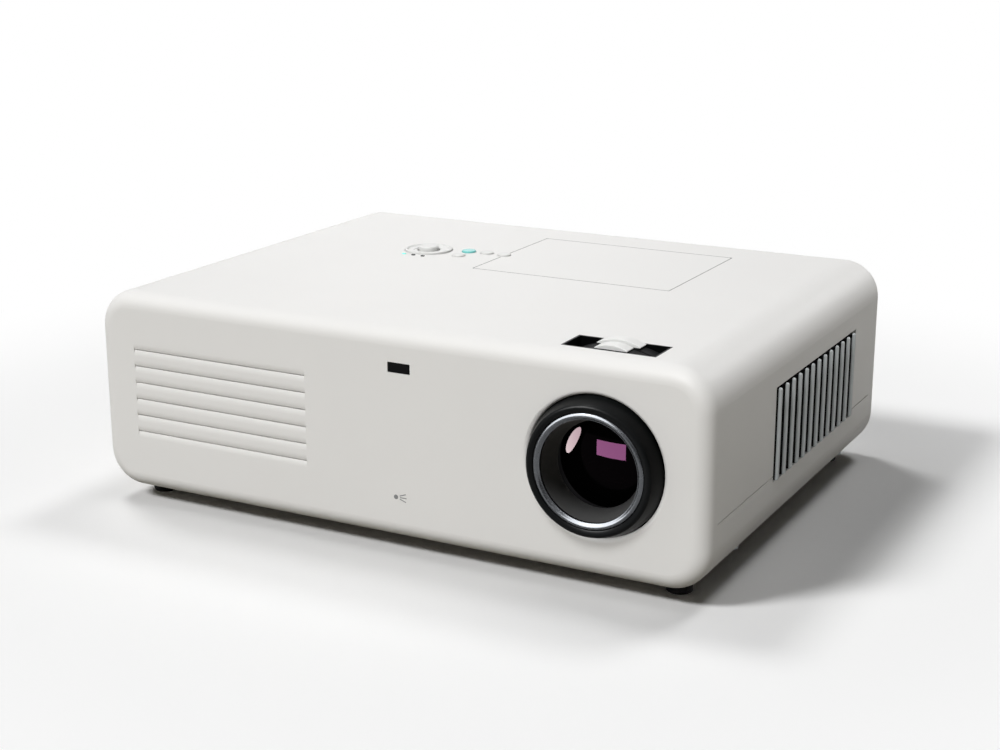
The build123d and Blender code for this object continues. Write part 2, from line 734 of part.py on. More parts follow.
def make_filter_cover():
    """The slatted cover over the air filter. It pulls off sideways."""
    skin_x = left_x - fin_proud
    y0, y1 = intake_y0 + gap, intake_y1 - gap
    z0, z1 = vent_z0 + gap, vent_z1 - gap
    cover = plate_x(skin_x, -inner_x + 1.5, y0, y1, z0, z1, 2.0)
    cover = fillet(cover.faces().sort_by(Axis.X)[0].edges(), cover_lip_r)
    cover -= block(skin_x + 2.2, 0, y0 + 2.2, y1 - 2.2, z0 + 2.2, z1 - 2.2)
    pitch = (z1 - z0 - 8) / slat_count
    for i in range(slat_count):
        z = z0 + 4 + (i + 0.5) * pitch
        for low_y, high_y in ((y0 + 6, (y0 + y1) / 2 - 3), ((y0 + y1) / 2 + 3, y1 - 6)):
            cover -= block(skin_x - 1, skin_x + 4, low_y, high_y, z - 1.6, z + 1.6)
    return cover


def make_air_filter():
    """The foam pad that the cover holds."""
    x0 = left_x - fin_proud + 2.2
    return block(
        x0, x0 + filter_t, intake_y0 + gap + 2.2, intake_y1 - gap - 2.2, vent_z0 + gap + 2.2,
        vent_z1 - gap - 2.2,
    )


def make_fan_frame(x0, y, z):
    """A square fan frame with four arms that carry the motor at its inner side."""
    half = fan_size / 2
    frame = plate_x(x0, x0 + fan_depth, y - half, y + half, z - half, z + half, 3.0)
    frame -= rod_x(y, z, x0 - 1, x0 + fan_depth + 1, fan_bore_r)
    for sy in (-1, 1):
        for sz in (-1, 1):
            hole_y, hole_z = y + sy * (half - fan_hole_inset), z + sz * (half - fan_hole_inset)
            frame -= rod_x(hole_y, hole_z, x0 - 1, x0 + fan_depth + 1, fan_hole_r)
    for turn in (45, 135):
        arm = Pos(x0 + 1.25, y, z) * Rot(turn, 0, 0) * Box(2.5, 3, 2 * fan_bore_r + 2)
        frame += arm
    frame += rod_x(y, z, x0, x0 + 3, fan_hub_r)
    return frame + rod_x(y, z, x0 + 2, x0 + fan_depth - 4, fan_shaft_r)


def make_fan_rotor(x0, y, z):
    """The hub with its twisted blades, running on the frame's shaft."""
    x_low, x_high = x0 + 3.4, x0 + fan_depth - 1
    rotor = rod_x(y, z, x_low, x_high, fan_hub_r)
    rotor -= rod_x(y, z, x_low - 1, x_high - 2.4, fan_shaft_r + running)
    tip_r = fan_bore_r - fan_tip_gap
    span = tip_r - fan_hub_r + 3
    for i in range(fan_blades):
        blade = Pos(0, 0, fan_hub_r - 3 + span / 2) * Rot(0, 0, 38) * Box(11, 1.2, span)
        blade &= Rot(0, 90, 0) * Cylinder(tip_r, 20)
        centre = Pos((x_low + x_high) / 2, y, z)
        rotor += centre * (Rot(360 / fan_blades * i, 0, 0) * blade)
    return rotor


# Feet
def make_screw_foot(x):
    """A rubber-tipped knob on a long screw that runs in the lower case."""
    y = foot_front_y
    knob = rod_z(x, y, 0, foot_height - seat, foot_r)
    knob = fillet(knob.edges().sort_by(Axis.Z)[0], 1.0)
    knob += rod_z(x, y, foot_height - 1, clip_z() + 2.5, foot_screw_r)
    return knob - tube_z(x, y, clip_z(), clip_z() + 1.0, foot_screw_r + 1, foot_screw_r - 0.6)


def clip_z():
    """Height of the retaining clip, clear of the boss when the foot is fully out."""
    return floor_z + foot_boss_h + foot_travel + 0.5


def make_foot_clip(x):
    low, high = clip_z() + running, clip_z() + 1.0 - running
    return tube_z(x, foot_front_y, low, high, 5.0, foot_screw_r - 0.55)


def make_rear_foot(x):
    foot = rod_z(x, foot_rear_y, 0, foot_height, foot_r)
    return fillet(foot.edges().sort_by(Axis.Z)[0], 1.0)


# Rear panel and its sockets
def make_rear_panel():
    panel = plate_y(
        panel_x0 - panel_border, panel_x1 + panel_border, panel_back_y, panel_face_y,
        panel_z0 - panel_border, panel_z1 + panel_border, panel_r,
    )
    y0, y1 = panel_back_y - 1, panel_face_y + 1
    for x in vga_places + [serial_x]:
        panel -= d_shell(x, 8.2 + gap, 4.2 + gap, y0, y1)
        for side in (-1, 1):
            panel -= rod_y(x + side * 12.5, socket_z, y0, y1, 2.4 + gap)
    for x, r in [(s_video_x, 4.6), (audio_x, 3.2)] + [(x, 4.2) for x in rca_places]:
        panel -= rod_y(x, socket_z, y0, y1, r + gap)
    panel -= block(usb_x - 6.0, usb_x + 6.0, y0, y1, socket_z - 5.5, socket_z + 5.5)
    panel -= block(lock_x - 3.5, lock_x + 3.5, y0, y1, socket_z - 1.5, socket_z + 1.5)
    panel -= block(
        inlet_x - inlet_w / 2 - 0.1, inlet_x + inlet_w / 2 + 0.1, y0, y1,
        inlet_z - inlet_h / 2 - 0.1, inlet_z + inlet_h / 2 + 0.1,
    )
    half_w, half_h = rocker_w / 2 + rocker_wall + gap, rocker_h / 2 + rocker_wall + gap
    return panel - block(
        rocker_x - half_w, rocker_x + half_w, y0, y1, inlet_z - half_h, inlet_z + half_h
    )


def d_shell(x, half_w, half_h, y0, y1):
    """The D-shaped outline of a computer socket's metal shell."""
    place = Plane(origin=(x, y0, socket_z), x_dir=(1, 0, 0), z_dir=(0, -1, 0))
    outline = make_face(Polyline(
        (-half_w, half_h), (half_w, half_h), (half_w - 1.6, -half_h), (-half_w + 1.6, -half_h),
        close=True,
    ))
    return extrude(place * outline, -(y1 - y0))


def make_d_socket(x, pin_rows):
    """A computer socket: body on the board, metal shell through the panel, two screw posts."""
    back_y, tip_y = panel_back_y - 11, panel_face_y + socket_proud
    socket = block(x - 15.4, x + 15.4, back_y, panel_back_y, main_board_z + board_t, socket_z + 6)
    socket += d_shell(x, 8.2, 4.2, panel_back_y - 1, tip_y)
    for side in (-1, 1):
        place = Plane(origin=(x + side * 12.5, panel_back_y, socket_z), z_dir=(0, 1, 0))
        socket += extrude(place * RegularPolygon(2.4, 6), tip_y - panel_back_y)
    for row, (count, pitch) in enumerate(pin_rows):
        z = socket_z + (len(pin_rows) - 1) * 1.0 - row * 2.0
        for i in range(count):
            pin_x = x + (i - (count - 1) / 2) * pitch
            socket -= block(pin_x - 0.45, pin_x + 0.45, tip_y - 3, tip_y + 1, z - 0.45, z + 0.45)
    return socket


def make_round_socket(x, r, bore, proud):
    """A round socket on its block: phono, microphone or video."""
    socket = block(
        x - r - 1.6, x + r + 1.6, panel_back_y - 11, panel_back_y, main_board_z + board_t,
        socket_z + r + 1.4,
    )
    socket += rod_y(x, socket_z, panel_back_y - 1, panel_face_y + proud, r)
    return socket - rod_y(x, socket_z, panel_back_y - 8, panel_face_y + proud + 1, bore)


def make_s_video_socket():
    socket = make_round_socket(s_video_x, 4.6, 0.5, socket_proud)
    for px, pz in ((-2.0, -1.2), (2.0, -1.2), (-1.3, 1.8), (1.3, 1.8)):
        socket -= rod_y(
            s_video_x + px, socket_z + pz, panel_back_y - 3, panel_face_y + socket_proud + 1, 0.5
        )
    return socket


def make_usb_socket():
    tip_y = panel_face_y + 0.6
    back_y = panel_back_y - 14
    socket = block(usb_x - 5.9, usb_x + 5.9, back_y, tip_y, socket_z - 5.4, socket_z + 5.4)
    socket += block(
        usb_x - 5.9, usb_x + 5.9, back_y, panel_back_y, main_board_z + board_t, socket_z
    )
    socket -= block(usb_x - 4.2, usb_x + 4.2, tip_y - 9, tip_y + 1, socket_z - 3.9, socket_z + 3.9)
    return socket + block(
        usb_x - 2.8, usb_x + 2.8, tip_y - 10, tip_y - 1, socket_z - 1.6, socket_z + 1.6
    )


def make_mains_inlet():
    """The appliance inlet: a flanged box with three blades, two of its corners cut off."""
    x, z = inlet_x, inlet_z
    tip_y = panel_face_y + inlet_flange
    inlet = block(
        x - inlet_w / 2, x + inlet_w / 2, tip_y - inlet_d, tip_y, z - inlet_h / 2, z + inlet_h / 2
    )
    inlet += block(
        x - inlet_w / 2 - 2, x + inlet_w / 2 + 2, panel_face_y, tip_y, z - inlet_h / 2 - 1.5,
        z + inlet_h / 2 + 1.5,
    )
    half_w, half_h, cut = inlet_cavity_w / 2, inlet_cavity_h / 2, 4.0
    place = Plane(origin=(x, tip_y - inlet_cavity_d, z), x_dir=(1, 0, 0), z_dir=(0, -1, 0))
    outline = make_face(Polyline(
        (-half_w, -half_h), (half_w, -half_h), (half_w, half_h - cut), (half_w - cut, half_h),
        (cut - half_w, half_h), (-half_w, half_h - cut), close=True,
    ))
    inlet -= extrude(place * outline, -(inlet_cavity_d + 1))
    for px, pz in ((-7.0, -2.0), (7.0, -2.0), (0.0, 2.0)):
        inlet += block(
            x + px - 1, x + px + 1, tip_y - inlet_cavity_d - 1, tip_y - 2.5, z + pz - 2, z + pz + 2
        )
    return inlet


def make_switch_frame():
    half_w, half_h = rocker_w / 2 + rocker_wall, rocker_h / 2 + rocker_wall
    x, z = rocker_x, inlet_z
    frame = block(
        x - half_w - 1.5, x + half_w + 1.5, panel_face_y, panel_face_y + 1, z - half_h - 1.5,
        z + half_h + 1.5,
    )
    back_y = panel_face_y - 14
    frame += block(x - half_w, x + half_w, back_y, panel_face_y + 0.5, z - half_h, z + half_h)
    frame -= block(
        x - rocker_w / 2 - gap, x + rocker_w / 2 + gap, panel_face_y - 12, panel_face_y + 2,
        z - rocker_h / 2 - gap, z + rocker_h / 2 + gap,
    )
    return frame - rod_x(rocker_pivot_y(), z, x - half_w + 0.4, x + half_w - 0.4, 1.0 + running)


def rocker_pivot_y():
    return panel_face_y - rocker_face


def make_mains_rocker():
    """The rocker: two faces that meet at its middle, resting with its lower half pressed in."""
    half_h = rocker_h / 2 - 0.8
    place = Plane(origin=(rocker_x - rocker_w / 2, 0, 0), x_dir=(0, 1, 0), z_dir=(1, 0, 0))
    far = rocker_face + 1.6 * half_h * sin(radians(rocker_swing / 2))
    outline = make_face(Polyline(
        (rocker_face, 0), (far, half_h), (-1.0, half_h), (-3.0, 2.0), (-3.0, -2.0),
        (-1.0, -half_h), (far, -half_h), close=True,
    ))
    rocker = extrude(place * outline, rocker_w)
    rocker = Rot(-rocker_swing / 2, 0, 0) * rocker
    rocker = Pos(0, rocker_pivot_y(), inlet_z) * rocker
    reach = rocker_w / 2 + rocker_wall - 0.7
    return rocker + rod_x(rocker_pivot_y(), inlet_z, rocker_x - reach, rocker_x + reach, 1.0)


# Boards
def board_corners(board):
    """Screw places, kept on the lower case's floor where a board reaches past it."""
    x0, x1, y0, y1 = board
    i = standoff_inset
    rear_row = min(y1 - i, seam_rear_y - standoff_r - 1)
    return [(x, y) for x in (x0 + i, x1 - i) for y in (y0 + i, rear_row)]


def make_board(board, z):
    x0, x1, y0, y1 = board
    plate = block(x0, x1, y0, y1, z, z + board_t)
    for x, y in board_corners(board):
        plate -= rod_z(x, y, z - 1, z + board_t + 1, 1.6)
    return plate


def make_main_board():
    """The signal board with its cooled processor, memory chips and capacitors."""
    x0, x1, y0, y1 = main_board
    top = main_board_z + board_t
    board = make_board(main_board, main_board_z)
    board += block(x0 + 60, x0 + 86, y0 + 4, y0 + 28, top, top + 2.4)
    for i in range(8):
        board += block(x0 + 61 + i * 3.2, x0 + 62.4 + i * 3.2, y0 + 5, y0 + 27, top + 2, top + 9)
    for i in range(4):
        board += block(x0 + 98 + i * 15, x0 + 109 + i * 15, y0 + 6, y0 + 22, top, top + 1.2)
    for i in range(3):
        board += rod_z(x0 + 20 + i * 12, y0 + 14, top, top + 8, 3.5)
    return board


def make_power_board():
    """The mains board with its coils, capacitors and two finned heat sinks."""
    x0, x1, y0, y1 = power_board
    top = low_board_z + board_t
    board = make_board(power_board, low_board_z)
    board += block(x0 + 20, x0 + 52, y0 + 60, y0 + 88, top, top + 24)
    board += block(x0 + 26, x0 + 46, y0 + 54, y0 + 94, top + 5, top + 19)
    for x, y in ((x0 + 16, y0 + 26), (x0 + 36, y0 + 26), (x0 + 56, y0 + 26)):
        board += rod_z(x, y, top, top + 26, 8.5)
    for y in (y0 + 44, y0 + 104):
        board += block(x0 + 10, x0 + 64, y - 1.2, y + 1.2, top, top + 28)
        for i in range(6):
            fin_x = x0 + 13 + i * 9
            board += block(fin_x, fin_x + 1.4, y - 5, y + 5, top + 6, top + 28)
    return board + rod_z(x0 + 38, y0 + 132, top, top + 14, 12)


def make_ballast():
    x0, x1, y0, y1 = ballast_board
    top = low_board_z + board_t
    board = make_board(ballast_board, low_board_z)
    board += block(x0 + 12, x1 - 12, y0 + 12, y0 + 40, top, top + 18)
    board += rod_z(x0 + 18, y0 + 58, top, top + 16, 6)
    return board + rod_z(x0 + 36, y0 + 58, top, top + 16, 6)


def board_screw(x, y, board_z):
    top = board_z + board_t
    return rod_z(x, y, top, top + 1.8, 2.6) + rod_z(x, y, board_z - 5, top + 0.5, screw_r)


def case_screw(x, y):
    head_z = base_z + screw_head_h + 1
    screw = rod_z(x, y, head_z - screw_head_h, head_z, screw_head_r)
    screw -= rod_z(x, y, head_z - screw_head_h - 1, head_z - 1.2, 1.1)
    return screw + rod_z(x, y, head_z - 0.5, seam_z + 12, screw_r)


def make_insert(x, y):
    return tube_z(x, y, base_z + 0.2, base_z + insert_len, insert_r - 0.02, insert_bore_r)


def make_speaker():
    """A small cone loudspeaker behind the louvres."""
    place = Plane(origin=(speaker_x, inner_front_y, speaker_z), x_dir=(1, 0, 0), z_dir=(0, 0, 1))
    outline = make_face(Polyline(
        (0, 7.5), (6, 5.5), (speaker_r - 3, 1.4), (speaker_r - 1.6, seat), (speaker_r, seat),
        (speaker_r, 2.0), (14, 13.0), (14, 21.0), (0, 21.0), close=True,
    ))
    axis = Axis((speaker_x, inner_front_y, speaker_z), (0, 1, 0))
    return revolve(place * outline, axis)


# Lamp and optics
def turned_lamp(points):
    place = Plane(origin=(lamp_x, lamp_y0, lamp_axis_z), x_dir=(1, 0, 0), z_dir=(0, 0, 1))
    outline = make_face(Polyline(*points, close=True))
    return revolve(place * outline, Axis((lamp_x, lamp_y0, lamp_axis_z), (0, 1, 0)))


def make_lamp_housing():
    """The lamp's open-backed box, with a round mouth in front and vent slots in its sides."""
    box = block(lamp_x0, lamp_x1, lamp_y0, lamp_y1, lamp_z0, lamp_z1)
    box -= block(
        lamp_x0 + lamp_wall, lamp_x1 - lamp_wall, lamp_y0 + lamp_wall, lamp_y1 - lamp_wall,
        lamp_z0 + lamp_wall, lamp_z1 - lamp_wall,
    )
    box -= rod_y(lamp_x, lamp_axis_z, lamp_y0 - 1, lamp_y0 + 3, reflector_mouth_r - 2)
    for i in range(5):
        z = lamp_z0 + 14 + i * 11
        box -= block(lamp_x0 - 1, lamp_x1 + 1, lamp_y1 - 30, lamp_y1 - 8, z, z + 4)
    return box


def paraboloid(y_back, r_mouth, depth_s, steps):
    """Points of a paraboloid's section, from its neck to its mouth."""
    rows = [neck_r + (r_mouth - neck_r) * i / steps for i in range(steps + 1)]
    fall = depth_s / (r_mouth**2 - neck_r**2)
    return [(r, y_back - fall * (r * r - neck_r * neck_r)) for r in rows]


def make_lamp_reflector():
    """A deep reflector with a straight neck at its back."""
    mouth_s = lamp_wall + seat
    back_s, neck_s = mouth_s + reflector_depth, mouth_s + reflector_depth + 14
    inner = paraboloid(back_s, reflector_mouth_r - reflector_t, reflector_depth, 8)
    outer = paraboloid(back_s + 1, reflector_mouth_r, reflector_depth + 1, 8)
    neck_outer = neck_r + 2 * reflector_t
    outer[0] = (neck_outer, outer[0][1])
    return turned_lamp(inner[::-1] + [(neck_r, neck_s), (neck_outer, neck_s)] + outer)


def make_lamp_burner():
    """The quartz tube with its round bulb, cemented in the reflector's neck."""
    mouth_s = lamp_wall + seat
    neck_s = mouth_s + reflector_depth + 14
    stem_r = neck_r - running
    return turned_lamp([
        (0, neck_s + 6), (stem_r, neck_s + 6), (stem_r, neck_s - 12),
        *[(r, mouth_s + share * reflector_depth) for r, share in bulb_outline],
    ])


def make_lamp_handle():
    """The folded pull handle that lies on top of the lamp housing."""
    x0, x1 = lamp_x0 + 8, lamp_x1 - 8
    y0, y1 = lamp_y0 + 20, lamp_y0 + 52
    z = lamp_z1 + 1.6
    loop = block(x0, x1, y0, y1, lamp_z1, z + 1.6) - block(
        x0 + 3.5, x1 - 3.5, y0 + 3.5, y1 + 1, lamp_z1 - 1, z + 3
    )
    return loop


def make_optical_tray():
    tray = block(tray_x0, tray_x1, tray_y0, tray_y1, tray_z0, tray_z1)
    tray -= block(
        tray_x0 + tray_t, tray_x1 - tray_t, tray_y0 + tray_t, tray_y1 - tray_t,
        tray_z0 + tray_t, tray_z1 + 1,
    )
    tray -= rod_y(lens_x, lens_z, tray_y0 - 1, tray_y0 + tray_t + 1, small_glass_r)
    tray -= rod_y(lamp_x, lens_z, tray_y1 - tray_t - 1, tray_y1 + 1, 18.0)
    tray += block(
        lens_x - prism / 2 - 4, lens_x + prism / 2 + 4, prism_y - prism / 2 - 2,
        prism_y + prism / 2 + 4, tray_z0 + 1, lens_z - prism / 2,
    )
    return tray


def make_prism():
    half = prism / 2
    cube = block(
        lens_x - half, lens_x + half, prism_y - half, prism_y + half, lens_z - half, lens_z + half
    )
    return cube


def make_panels():
    near, far = prism / 2 + 1.0, prism / 2 + 2.4
    z0, z1 = lens_z - prism / 2, lens_z + prism / 2
    side = [
        block(lens_x + a, lens_x + b, prism_y - 12, prism_y + 12, z0, z1)
        for a, b in ((-far, -near), (near, far))
    ]
    return side + [block(lens_x - 12, lens_x + 12, prism_y + near, prism_y + far, z0, z1)]


def make_fold_mirrors():
    z0, z1 = tray_z0 + tray_t, tray_z1 - 2
    mirrors = []
    for x in (lamp_x, lamp_x + 32):
        plate = Rot(0, 0, -45) * Box(38, 2, z1 - z0)
        mirrors.append(Pos(x, prism_y, (z0 + z1) / 2) * plate)
    return mirrors


def make_condenser_lenses():
    r = lens_z - tray_z0 - tray_t - 0.1
    first = rod_y(lamp_x, lens_z, tray_y1 - tray_t - 12, tray_y1 - tray_t - 6, r)
    return [first, rod_y(lamp_x, lens_z, tray_y1 - tray_t - 22, tray_y1 - tray_t - 17, r)]


# Supports that stand on the floor of the lower case
def board_levels():
    return ((power_board, low_board_z), (ballast_board, low_board_z), (main_board, main_board_z))


def make_supports():
    ribs = []
    for board, z in board_levels():
        for x, y in board_corners(board):
            post = rod_z(x, y, floor_z - 1, z, standoff_r)
            ribs.append(post - rod_z(x, y, floor_z + 1, z + 1, screw_r + running))
    for x0, y in fan_places():
        for rib_x in (x0 + 2, x0 + 11):
            ribs.append(block(rib_x, rib_x + 2, y - 24, y + 24, floor_z - 1, fan_z - fan_size / 2))
    for x in (tray_x0 + 8, tray_x1 - 30):
        ribs.append(block(x, x + 2.5, tray_y0 + 6, tray_y1 - 6, floor_z - 1, tray_z0))
    for x in (lamp_x0 + 6, lamp_x1 - 8):
        ribs.append(block(x, x + 2.5, lamp_y0 + 4, lamp_y1 - 4, floor_z - 1, lamp_z0))
    return ribs


def fan_places():
    """Inner face and height line of the intake fan and the two exhaust fans."""
    exhaust_x = right_x - 15.0 - fan_depth
    middle = (exhaust_y0 + exhaust_y1) / 2
    return [
        (left_x + 15.0, (intake_y0 + intake_y1) / 2),
        (exhaust_x, middle - (fan_size + fan_pair_gap) / 2),
        (exhaust_x, middle + (fan_size + fan_pair_gap) / 2),
    ]


def make_exhaust_duct():
    """The black box between the two exhaust fans and the grille."""
    x0 = right_x - 15.0
    x1 = inner_x - seat - grille_t
    y0, y1 = exhaust_y0 - grille_border, exhaust_y1 + grille_border
    z0, z1 = vent_z0 - grille_border, vent_z1 + grille_border
    duct = block(x0, x1, y0, y1, z0, z1)
    duct -= block(x0 + 1.6, x1 + 1, y0 + 1.6, y1 - 1.6, z0 + 1.6, z1 - 1.6)
    for _, y in fan_places()[1:]:
        duct -= rod_x(y, fan_z, x0 - 1, x0 + 3, fan_bore_r - 3)
    return duct


os.makedirs("parts", exist_ok=True)

shell = case_form(0) - case_form(wall)
save("upper_case", make_upper_case(shell))
lower = make_lower_case(shell)
for support in make_supports():
    lower += support
save("lower_case", lower)
save("lamp_cover", make_lamp_cover())
save("ir_window", make_ir_window())

save("lens_bezel", make_lens_bezel())
save("lens_trim_ring", make_lens_trim())
save("lens_baffle", make_lens_baffle())
save("lens_barrel", make_lens_barrel())
front_seat_s = seat_station(
    front_glass_r, front_glass_vertex_s, front_glass_t, front_glass_rear_sag
)
save("focus_cell", make_lens_cell(focus_cell_s, focus_cell_len, front_glass_r, front_seat_s))
save("front_glass", lens_disc(
    front_glass_r - running, front_glass_vertex_s, front_glass_t, front_glass_sag,
    front_glass_rear_sag,
))
zoom_vertex_s = zoom_cell_s - zoom_glass_lead
zoom_seat_s = seat_station(small_glass_r, zoom_vertex_s, zoom_glass_t, zoom_glass_sag)
save("zoom_cell", make_lens_cell(zoom_cell_s, zoom_cell_len, small_glass_r, zoom_seat_s))
save("zoom_glass", lens_disc(
    small_glass_r - running, zoom_vertex_s, zoom_glass_t, zoom_glass_sag, zoom_glass_sag
))
save("rear_glass", lens_disc(
    small_glass_r - running, barrel_rear_s - rear_glass_t - 0.5, rear_glass_t, 1.5, 1.0
))
save("focus_ring", make_dial_ring(focus_half, focus_s0, focus_s1, focus_swing))
save("focus_grip", make_dial_grip(focus_half, focus_rise, focus_s0, focus_s1))
save("zoom_ring", make_dial_ring(zoom_half, zoom_s0, zoom_s1, zoom_swing))
save("zoom_grip", make_dial_grip(zoom_half, zoom_rise, zoom_s0, zoom_s1))
save("dial_window", make_dial_window())

for name in key_places:
    save(name, make_key(name))
save("ok_key", make_ok_key())
save("nav_ring", make_nav_ring())
save("nav_gimbal", make_nav_gimbal())
save("key_board", make_key_board())
save("status_lights", *[light_pipe(x, y) for x, y in led_places])

save("exhaust_grille", make_exhaust_grille())
save("exhaust_duct", make_exhaust_duct())
save("filter_cover", make_filter_cover())
save("air_filter", make_air_filter())
save("fan_frames", *[make_fan_frame(x0, y, fan_z) for x0, y in fan_places()])
fan_names = ("intake_rotor", "front_exhaust_rotor", "rear_exhaust_rotor")
for name, (x0, y) in zip(fan_names, fan_places()):
    save(name, make_fan_rotor(x0, y, fan_z))

for side, x in (("left", -foot_x), ("right", foot_x)):
    save(f"front_foot_{side}", make_screw_foot(x))
    save(f"foot_clip_{side}", make_foot_clip(x))
save("rear_feet", make_rear_foot(-foot_x), make_rear_foot(foot_x))

save("rear_panel", make_rear_panel())
vga = [make_d_socket(x, [(5, 2.3)] * 3) for x in vga_places]
serial = make_d_socket(serial_x, [(5, 2.7), (4, 2.7)])
save("computer_sockets", *vga, serial, make_usb_socket())
phono = [make_round_socket(x, 4.2, 1.6, socket_proud) for x in rca_places]
audio = make_round_socket(audio_x, 3.2, 1.8, 1.0)
save("video_sockets", make_s_video_socket(), *phono, audio)
save("mains_inlet", make_mains_inlet())
save("switch_frame", make_switch_frame())
save("mains_rocker", make_mains_rocker())

save("main_board", make_main_board())
save("power_board", make_power_board())
save("lamp_ballast", make_ballast())
screws = [board_screw(x, y, z) for board, z in board_levels() for x, y in board_corners(board)]
corners = [(x, y) for x in (-post_x, post_x) for y in (post_front_y, post_rear_y)]
save("screws", *screws, *[case_screw(x, y) for x, y in corners])
save("mount_inserts", *[make_insert(x, y) for x, y in insert_places()])
save("speaker", make_speaker())

save("lamp_housing", make_lamp_housing())
save("lamp_bulb", make_lamp_reflector(), make_lamp_burner())
save("lamp_handle", make_lamp_handle())
save("optical_tray", make_optical_tray())
save("optics_lid", block(tray_x0, tray_x1, tray_y0, tray_y1, tray_z1, tray_z1 + 2))
save("prism_block", make_prism(), *make_panels())
save("relay_optics", *make_fold_mirrors(), *make_condenser_lenses())
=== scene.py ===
import json
import math
import bmesh
import bpy
from mathutils import Matrix, Vector


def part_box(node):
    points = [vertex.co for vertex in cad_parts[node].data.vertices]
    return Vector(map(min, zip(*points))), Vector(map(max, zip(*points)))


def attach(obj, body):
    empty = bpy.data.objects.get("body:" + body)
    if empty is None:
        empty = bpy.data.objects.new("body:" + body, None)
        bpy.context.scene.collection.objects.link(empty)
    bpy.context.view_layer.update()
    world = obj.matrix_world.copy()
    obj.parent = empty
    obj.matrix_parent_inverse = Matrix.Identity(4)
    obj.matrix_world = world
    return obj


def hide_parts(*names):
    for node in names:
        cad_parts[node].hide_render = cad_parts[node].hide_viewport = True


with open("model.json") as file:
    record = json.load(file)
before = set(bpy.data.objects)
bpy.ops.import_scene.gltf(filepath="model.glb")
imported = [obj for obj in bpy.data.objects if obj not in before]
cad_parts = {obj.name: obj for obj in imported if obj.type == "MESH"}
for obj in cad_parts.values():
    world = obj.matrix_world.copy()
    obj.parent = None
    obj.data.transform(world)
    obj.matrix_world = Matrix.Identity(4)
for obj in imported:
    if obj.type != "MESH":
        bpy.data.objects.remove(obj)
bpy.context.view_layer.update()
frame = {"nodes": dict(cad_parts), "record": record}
mm = 0.001
frontY = -132.15 * mm   # the flat front of the case
topZ = 119.1 * mm       # the flat top of the case
sideX = 180.0 * mm      # half the case's width
lensX, lensZ = 121.2 * mm, 64.3 * mm


def hexColour(text):
    parts = [int(text[i:i + 2], 16) / 255 for i in (0, 2, 4)]
    linear = [c / 12.92 if c <= 0.04045 else ((c + 0.055) / 1.055) ** 2.4 for c in parts]
    return (*linear, 1.0)


def addNode(tree, kind, inputs=None, **settings):
    node = tree.nodes.new(kind)
    for key, value in settings.items():
        setattr(node, key, value)
    for key, value in (inputs or {}).items():
        if isinstance(value, bpy.types.NodeSocket):
            tree.links.new(value, node.inputs[key])
        else:
            node.inputs[key].default_value = value
    return node


# Camera, at the place worked out from the edges of the case in the photograph
photoCamera = {
    "place": (0.457003, -0.85945, 0.33984),  # metres, in the CAD frame
    "azimuth": 28.0,   # degrees to the right of straight on
    "down": 16.0,      # degrees below the horizon
    "lens": 63.56,     # mm on a 36 mm sensor
}


def makeCamera():
    data = bpy.data.cameras.new("photoCamera")
    data.sensor_width = 36.0
    data.lens = photoCamera["lens"]
    data.clip_start = 0.01
    obj = bpy.data.objects.new("photoCamera", data)
    obj.location = photoCamera["place"]
    obj.rotation_euler = (
        math.radians(90 - photoCamera["down"]), 0, math.radians(photoCamera["azimuth"])
    )
    bpy.context.scene.collection.objects.link(obj)
    bpy.context.scene.camera = obj
    print("camera placed")


# Studio: a white surround for the camera and a pale floor that turns to white further out
studio = {
    "skyStrength": 0.02,
    "horizonGloss": 0.10,   # what polished surfaces see level with them
    "zenithGloss": 1.0,     # and overhead
    "glossFrom": 0.05, "glossTo": 0.75,   # heights on the sky's unit ball between the two
    "floorSize": 6.0,
    "floorColour": "ffffff",
    "floorBounce": "99958a",   # what the floor throws back on the object, a little warm
    "whiteFrom": 0.23, "whiteTo": 0.56,   # metres from the object
}


def makeWorld():
    world = bpy.data.worlds.new("studio")
    bpy.context.scene.world = world
    world.use_nodes = True
    tree = world.node_tree
    tree.nodes.clear()
    path = addNode(tree, "ShaderNodeLightPath")
    place = addNode(tree, "ShaderNodeTexCoord")
    parts = addNode(tree, "ShaderNodeSeparateXYZ", {0: place.outputs["Generated"]})
    rise = addNode(tree, "ShaderNodeMapRange", {"Value": parts.outputs["Z"],
                   "From Min": studio["glossFrom"], "From Max": studio["glossTo"],
                   "To Min": studio["horizonGloss"], "To Max": studio["zenithGloss"]},
                   interpolation_type="SMOOTHSTEP")
    sky = addNode(tree, "ShaderNodeBackground", {"Strength": studio["skyStrength"]})
    ceiling = addNode(tree, "ShaderNodeBackground", {"Strength": rise.outputs[0]})
    white = addNode(tree, "ShaderNodeBackground", {"Color": (1, 1, 1, 1), "Strength": 1.0})
    glossy = addNode(tree, "ShaderNodeMixShader", {0: path.outputs["Is Glossy Ray"],
                     1: sky.outputs[0], 2: ceiling.outputs[0]})
    for node in (sky, ceiling):
        node.inputs["Color"].default_value = (1, 1, 1, 1)
    seen = addNode(tree, "ShaderNodeMath", {0: path.outputs["Is Camera Ray"],
                   1: path.outputs["Is Transmission Ray"]}, operation="MAXIMUM")
    mix = addNode(tree, "ShaderNodeMixShader", {0: seen.outputs[0], 1: glossy.outputs[0],
                  2: white.outputs[0]})
    addNode(tree, "ShaderNodeOutputWorld", {"Surface": mix.outputs[0]})


